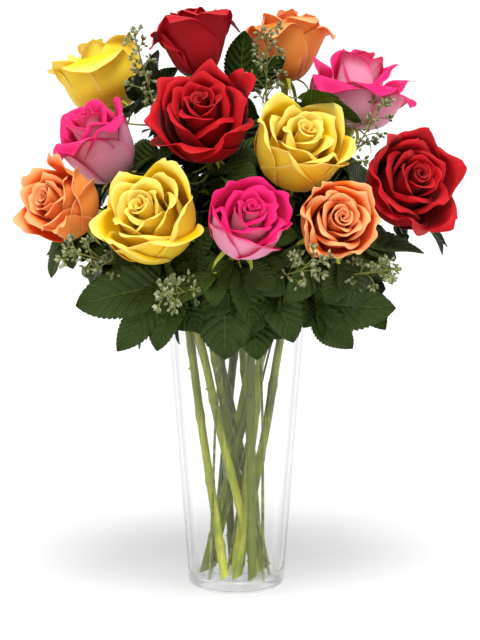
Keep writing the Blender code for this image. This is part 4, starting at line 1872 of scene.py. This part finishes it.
@dataclass
class SeedSprig:
    """A sprig of seeded eucalyptus: a twig, its side shoots, and umbels of seeds."""

    name: str
    tubes: Maker
    seeds: Maker
    seed: int
    twig_girth: float = 1.1 * MM
    shoot_girth: float = 0.42 * MM
    stalk_girth: float = 0.28 * MM
    shoot_length: float = 13.0 * MM
    shoot_step: float = 5.0 * MM
    shoots_below: float = 14.0 * MM
    stalk_length: float = 3.6 * MM

    def route(self) -> tuple[Array, Array]:
        """Reads the twig's line from its CAD node.

        Returns:
            The line, and the two ends of the part that carries seeds.
        """
        rings = centreline(self.name, 1.25 * MM, 5)
        return smooth_path(rings, 60), rings[-2:]

    def build(self) -> None:
        """Makes the twig, which stands for the CAD sprig, and its seeds."""
        rng = np.random.default_rng(self.seed)
        line, head = self.route()
        twigs, seeds = Paths(), Paths()
        twigs.add(line, girth=self.twig_girth * np.linspace(1.15, 0.55, len(line)))
        length = float(np.linalg.norm(head[1] - head[0]))
        way = (head[1] - head[0]) / length
        side = np.cross(way, (0.3, 0.2, 0.9))
        side /= np.linalg.norm(side)
        other = np.cross(way, side)
        for i, at in enumerate(np.arange(-self.shoots_below, length, self.shoot_step)):
            start = head[0] + way * at
            if at < 0:
                start = line[np.argmin(np.linalg.norm(line - start, axis=1))]
            angle = i * GOLDEN_ANGLE + rng.uniform(-0.3, 0.3)
            out = math.cos(angle) * side + math.sin(angle) * other
            grow = 1.0 - 0.45 * max(at, 0) / length
            reach = self.shoot_length * grow * rng.uniform(0.7, 1.2)
            end = start + (out * 0.8 + way * 0.75) * reach
            bend = (start + end) / 2 + way * 1.5 * MM
            twigs.add(smooth_path(np.array([start, bend, end]), 6), girth=self.shoot_girth)
            self.umbel(end, end - bend, rng, twigs, seeds)
        self.umbel(head[1], way, rng, twigs, seeds)
        stand_in(self.tubes.bake(self.name.replace("sprig", "twig"), twigs, TWIG, Sides=6),
                 "seed_green", self.name)
        stand_in(self.seeds.bake(self.name.replace("sprig", "seeds"), seeds, SEED, Seed=self.seed),
                 "seed_green")

    def umbel(self, place: Array, way: Array, rng: np.random.Generator, twigs: Paths,
              seeds: Paths) -> None:
        """Adds a cluster of seeds on short stalks round the end of a shoot.

        Args:
            place, way: the end of the shoot, and where it points.
            rng: where the random numbers come from.
            twigs, seeds: what the stalks and seeds go into.
        """
        way = way / np.linalg.norm(way)
        for _ in range(int(rng.integers(6, 10))):
            out = rng.normal(size=3) + way * 1.1
            out /= np.linalg.norm(out)
            tip = place + out * self.stalk_length * rng.uniform(0.8, 1.35)
            twigs.add(np.array([place, (place + tip) / 2 + way * 0.3 * MM, tip]),
                      girth=self.stalk_girth)
            seeds.add(np.array([tip + out * 1.2 * MM]), way=out[None])


# ---------------------------------------------------------------- vase


@dataclass
class Vase:
    """The tall tapered glass vase: a thick floor, a rounded heel and a fire-polished lip."""

    foot_radius: float = 38.0 * MM
    wall: float = 3.5 * MM
    floor: float = 8.0 * MM
    heel: float = 6.0 * MM
    cove: float = 4.0 * MM
    sides: int = 144

    @staticmethod
    def arc(x: float, z: float, radius: float, start: float, stop: float,
            count: int) -> list[tuple[float, float]]:
        """Lays an arc in the section.

        Args:
            x, z: its centre.
            radius: its radius.
            start, stop: its two angles, in degrees.
            count: how many points it has.

        Returns:
            The points.
        """
        return [(x + radius * math.cos(a), z + radius * math.sin(a))
                for a in np.radians(np.linspace(start, stop, count))]

    def profile(self) -> list[tuple[float, float]]:
        """The glass's section, from the middle of the underside round to the inner floor.

        Returns:
            Radius and height at each point.
        """
        mouth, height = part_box("vase")[1].xz
        foot, half, lean = self.foot_radius, self.wall / 2, (mouth - self.foot_radius) / height
        inner = foot + lean * self.floor - self.wall
        return [
            (0.0, 0.0), (foot * 0.5, 0.0),
            *self.arc(foot - self.heel + lean * self.heel, self.heel, self.heel, -90, 0, 9),
            *((foot + lean * z, z) for z in np.linspace(2 * self.heel, height - 2 * MM, 24)),
            *self.arc(mouth - half, height - half, half, 0, 180, 9),
            *((foot + lean * z - self.wall, z)
              for z in np.linspace(height - 3 * MM, self.floor + 5 * MM, 24)),
            *self.arc(inner - self.cove, self.floor + self.cove, self.cove, -10, -90, 6),
            (inner * 0.5, self.floor), (0.0, self.floor)]

    def build(self) -> None:
        """Makes the vase, in place of the CAD one."""
        shape = Shape()
        shape.lathe(self.profile(), self.sides, Vector((0, 0, 0)), Vector((0, 0, 1)))
        stand_in(shape.build("glass_vase", GLASS), "clear_glass", "vase")


# ---------------------------------------------------------------- studio


@dataclass
class Studio:
    """White floor, soft light and the camera; a lamp has a name, strength, spread and way."""

    floor_width: float = 600.0
    floor_gap: float = 0.4 * MM
    world_strength: float = 0.86
    lamps: tuple = (("key", 1.8, 32, (0.05, 0.62, -1.0)), ("top", 1.25, 24, (-0.06, 0.32, -1.0)))
    camera_place: Vector = Vector((0.003, -1.9805, 0.4948))
    camera_aim: Vector = Vector((0.003, 0.0, 0.2165))
    lens: float = 140.6

    def lay_floor(self) -> None:
        """Lays the floor just under the glass."""
        half, low = self.floor_width / 2, -self.floor_gap
        mesh = bpy.data.meshes.new("floor")
        mesh.from_pydata([(-half, -half, low), (half, -half, low), (half, half, low),
                          (-half, half, low)], [], [(0, 1, 2, 3)])
        mesh.materials.append(Paints.of(FLOOR))
        put("floor", mesh)

    def light(self) -> None:
        """Adds the white world and the soft lamps."""
        world = bpy.data.worlds.new("studio")
        bpy.context.scene.world = world
        world.use_nodes = True
        sky = world.node_tree.nodes["Background"]
        sky.inputs["Color"].default_value = WHITE
        sky.inputs["Strength"].default_value = self.world_strength
        for name, strength, spread, way in self.lamps:
            lamp = bpy.data.lights.new(name, "SUN")
            lamp.energy, lamp.angle = strength, math.radians(spread)
            put(name, lamp).rotation_euler = Vector(way).to_track_quat("-Z", "Y").to_euler()
        bpy.context.scene.view_settings.view_transform = "Standard"

    def set_camera(self) -> None:
        """Adds the camera and makes it the scene's."""
        data = bpy.data.cameras.new("camera")
        data.lens, data.sensor_width, data.sensor_fit = self.lens, 36.0, "AUTO"
        data.clip_start, data.clip_end = 0.05, 1000.0
        camera = put("camera", data)
        camera.location = self.camera_place
        aim = self.camera_aim - self.camera_place
        camera.rotation_euler = aim.to_track_quat("-Z", "Y").to_euler()
        bpy.context.scene.camera = camera


def write_sizes() -> None:
    """Updates the view layer."""
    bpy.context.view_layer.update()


def main() -> None:
    """Builds every piece, in order, and the studio round them."""
    logging.basicConfig(level=logging.INFO, format="%(name)s: %(message)s")
    studio = Studio()
    studio.set_camera()
    studio.light()
    studio.lay_floor()
    Vase().build()
    tubes, stalk_tree = tube_maker(), stalk_maker()
    stalks = []
    for form in ROSES:
        rose = Rose(form)
        rose.build()
        Calyx(rose).build()
        stalks.append(Stalk(rose, stalk_tree))
        stalks[-1].build()
    foliage = Foliage([stalk.rose for stalk in stalks], stalks, tubes)
    for seed, node in enumerate(nodes_of("leaf_"), 100):
        foliage.build_cad_leaf(node, seed)
    for seed, stalk in enumerate(stalks, 200):
        foliage.build_stem_leaves(stalk, seed)
    foliage.build_gap_leaves()
    seeds = seed_maker()
    for seed, node in enumerate(nodes_of("sprig_"), 300):
        SeedSprig(node, tubes, seeds, seed).build()
    write_sizes()


if __name__ == "__main__":
    main()
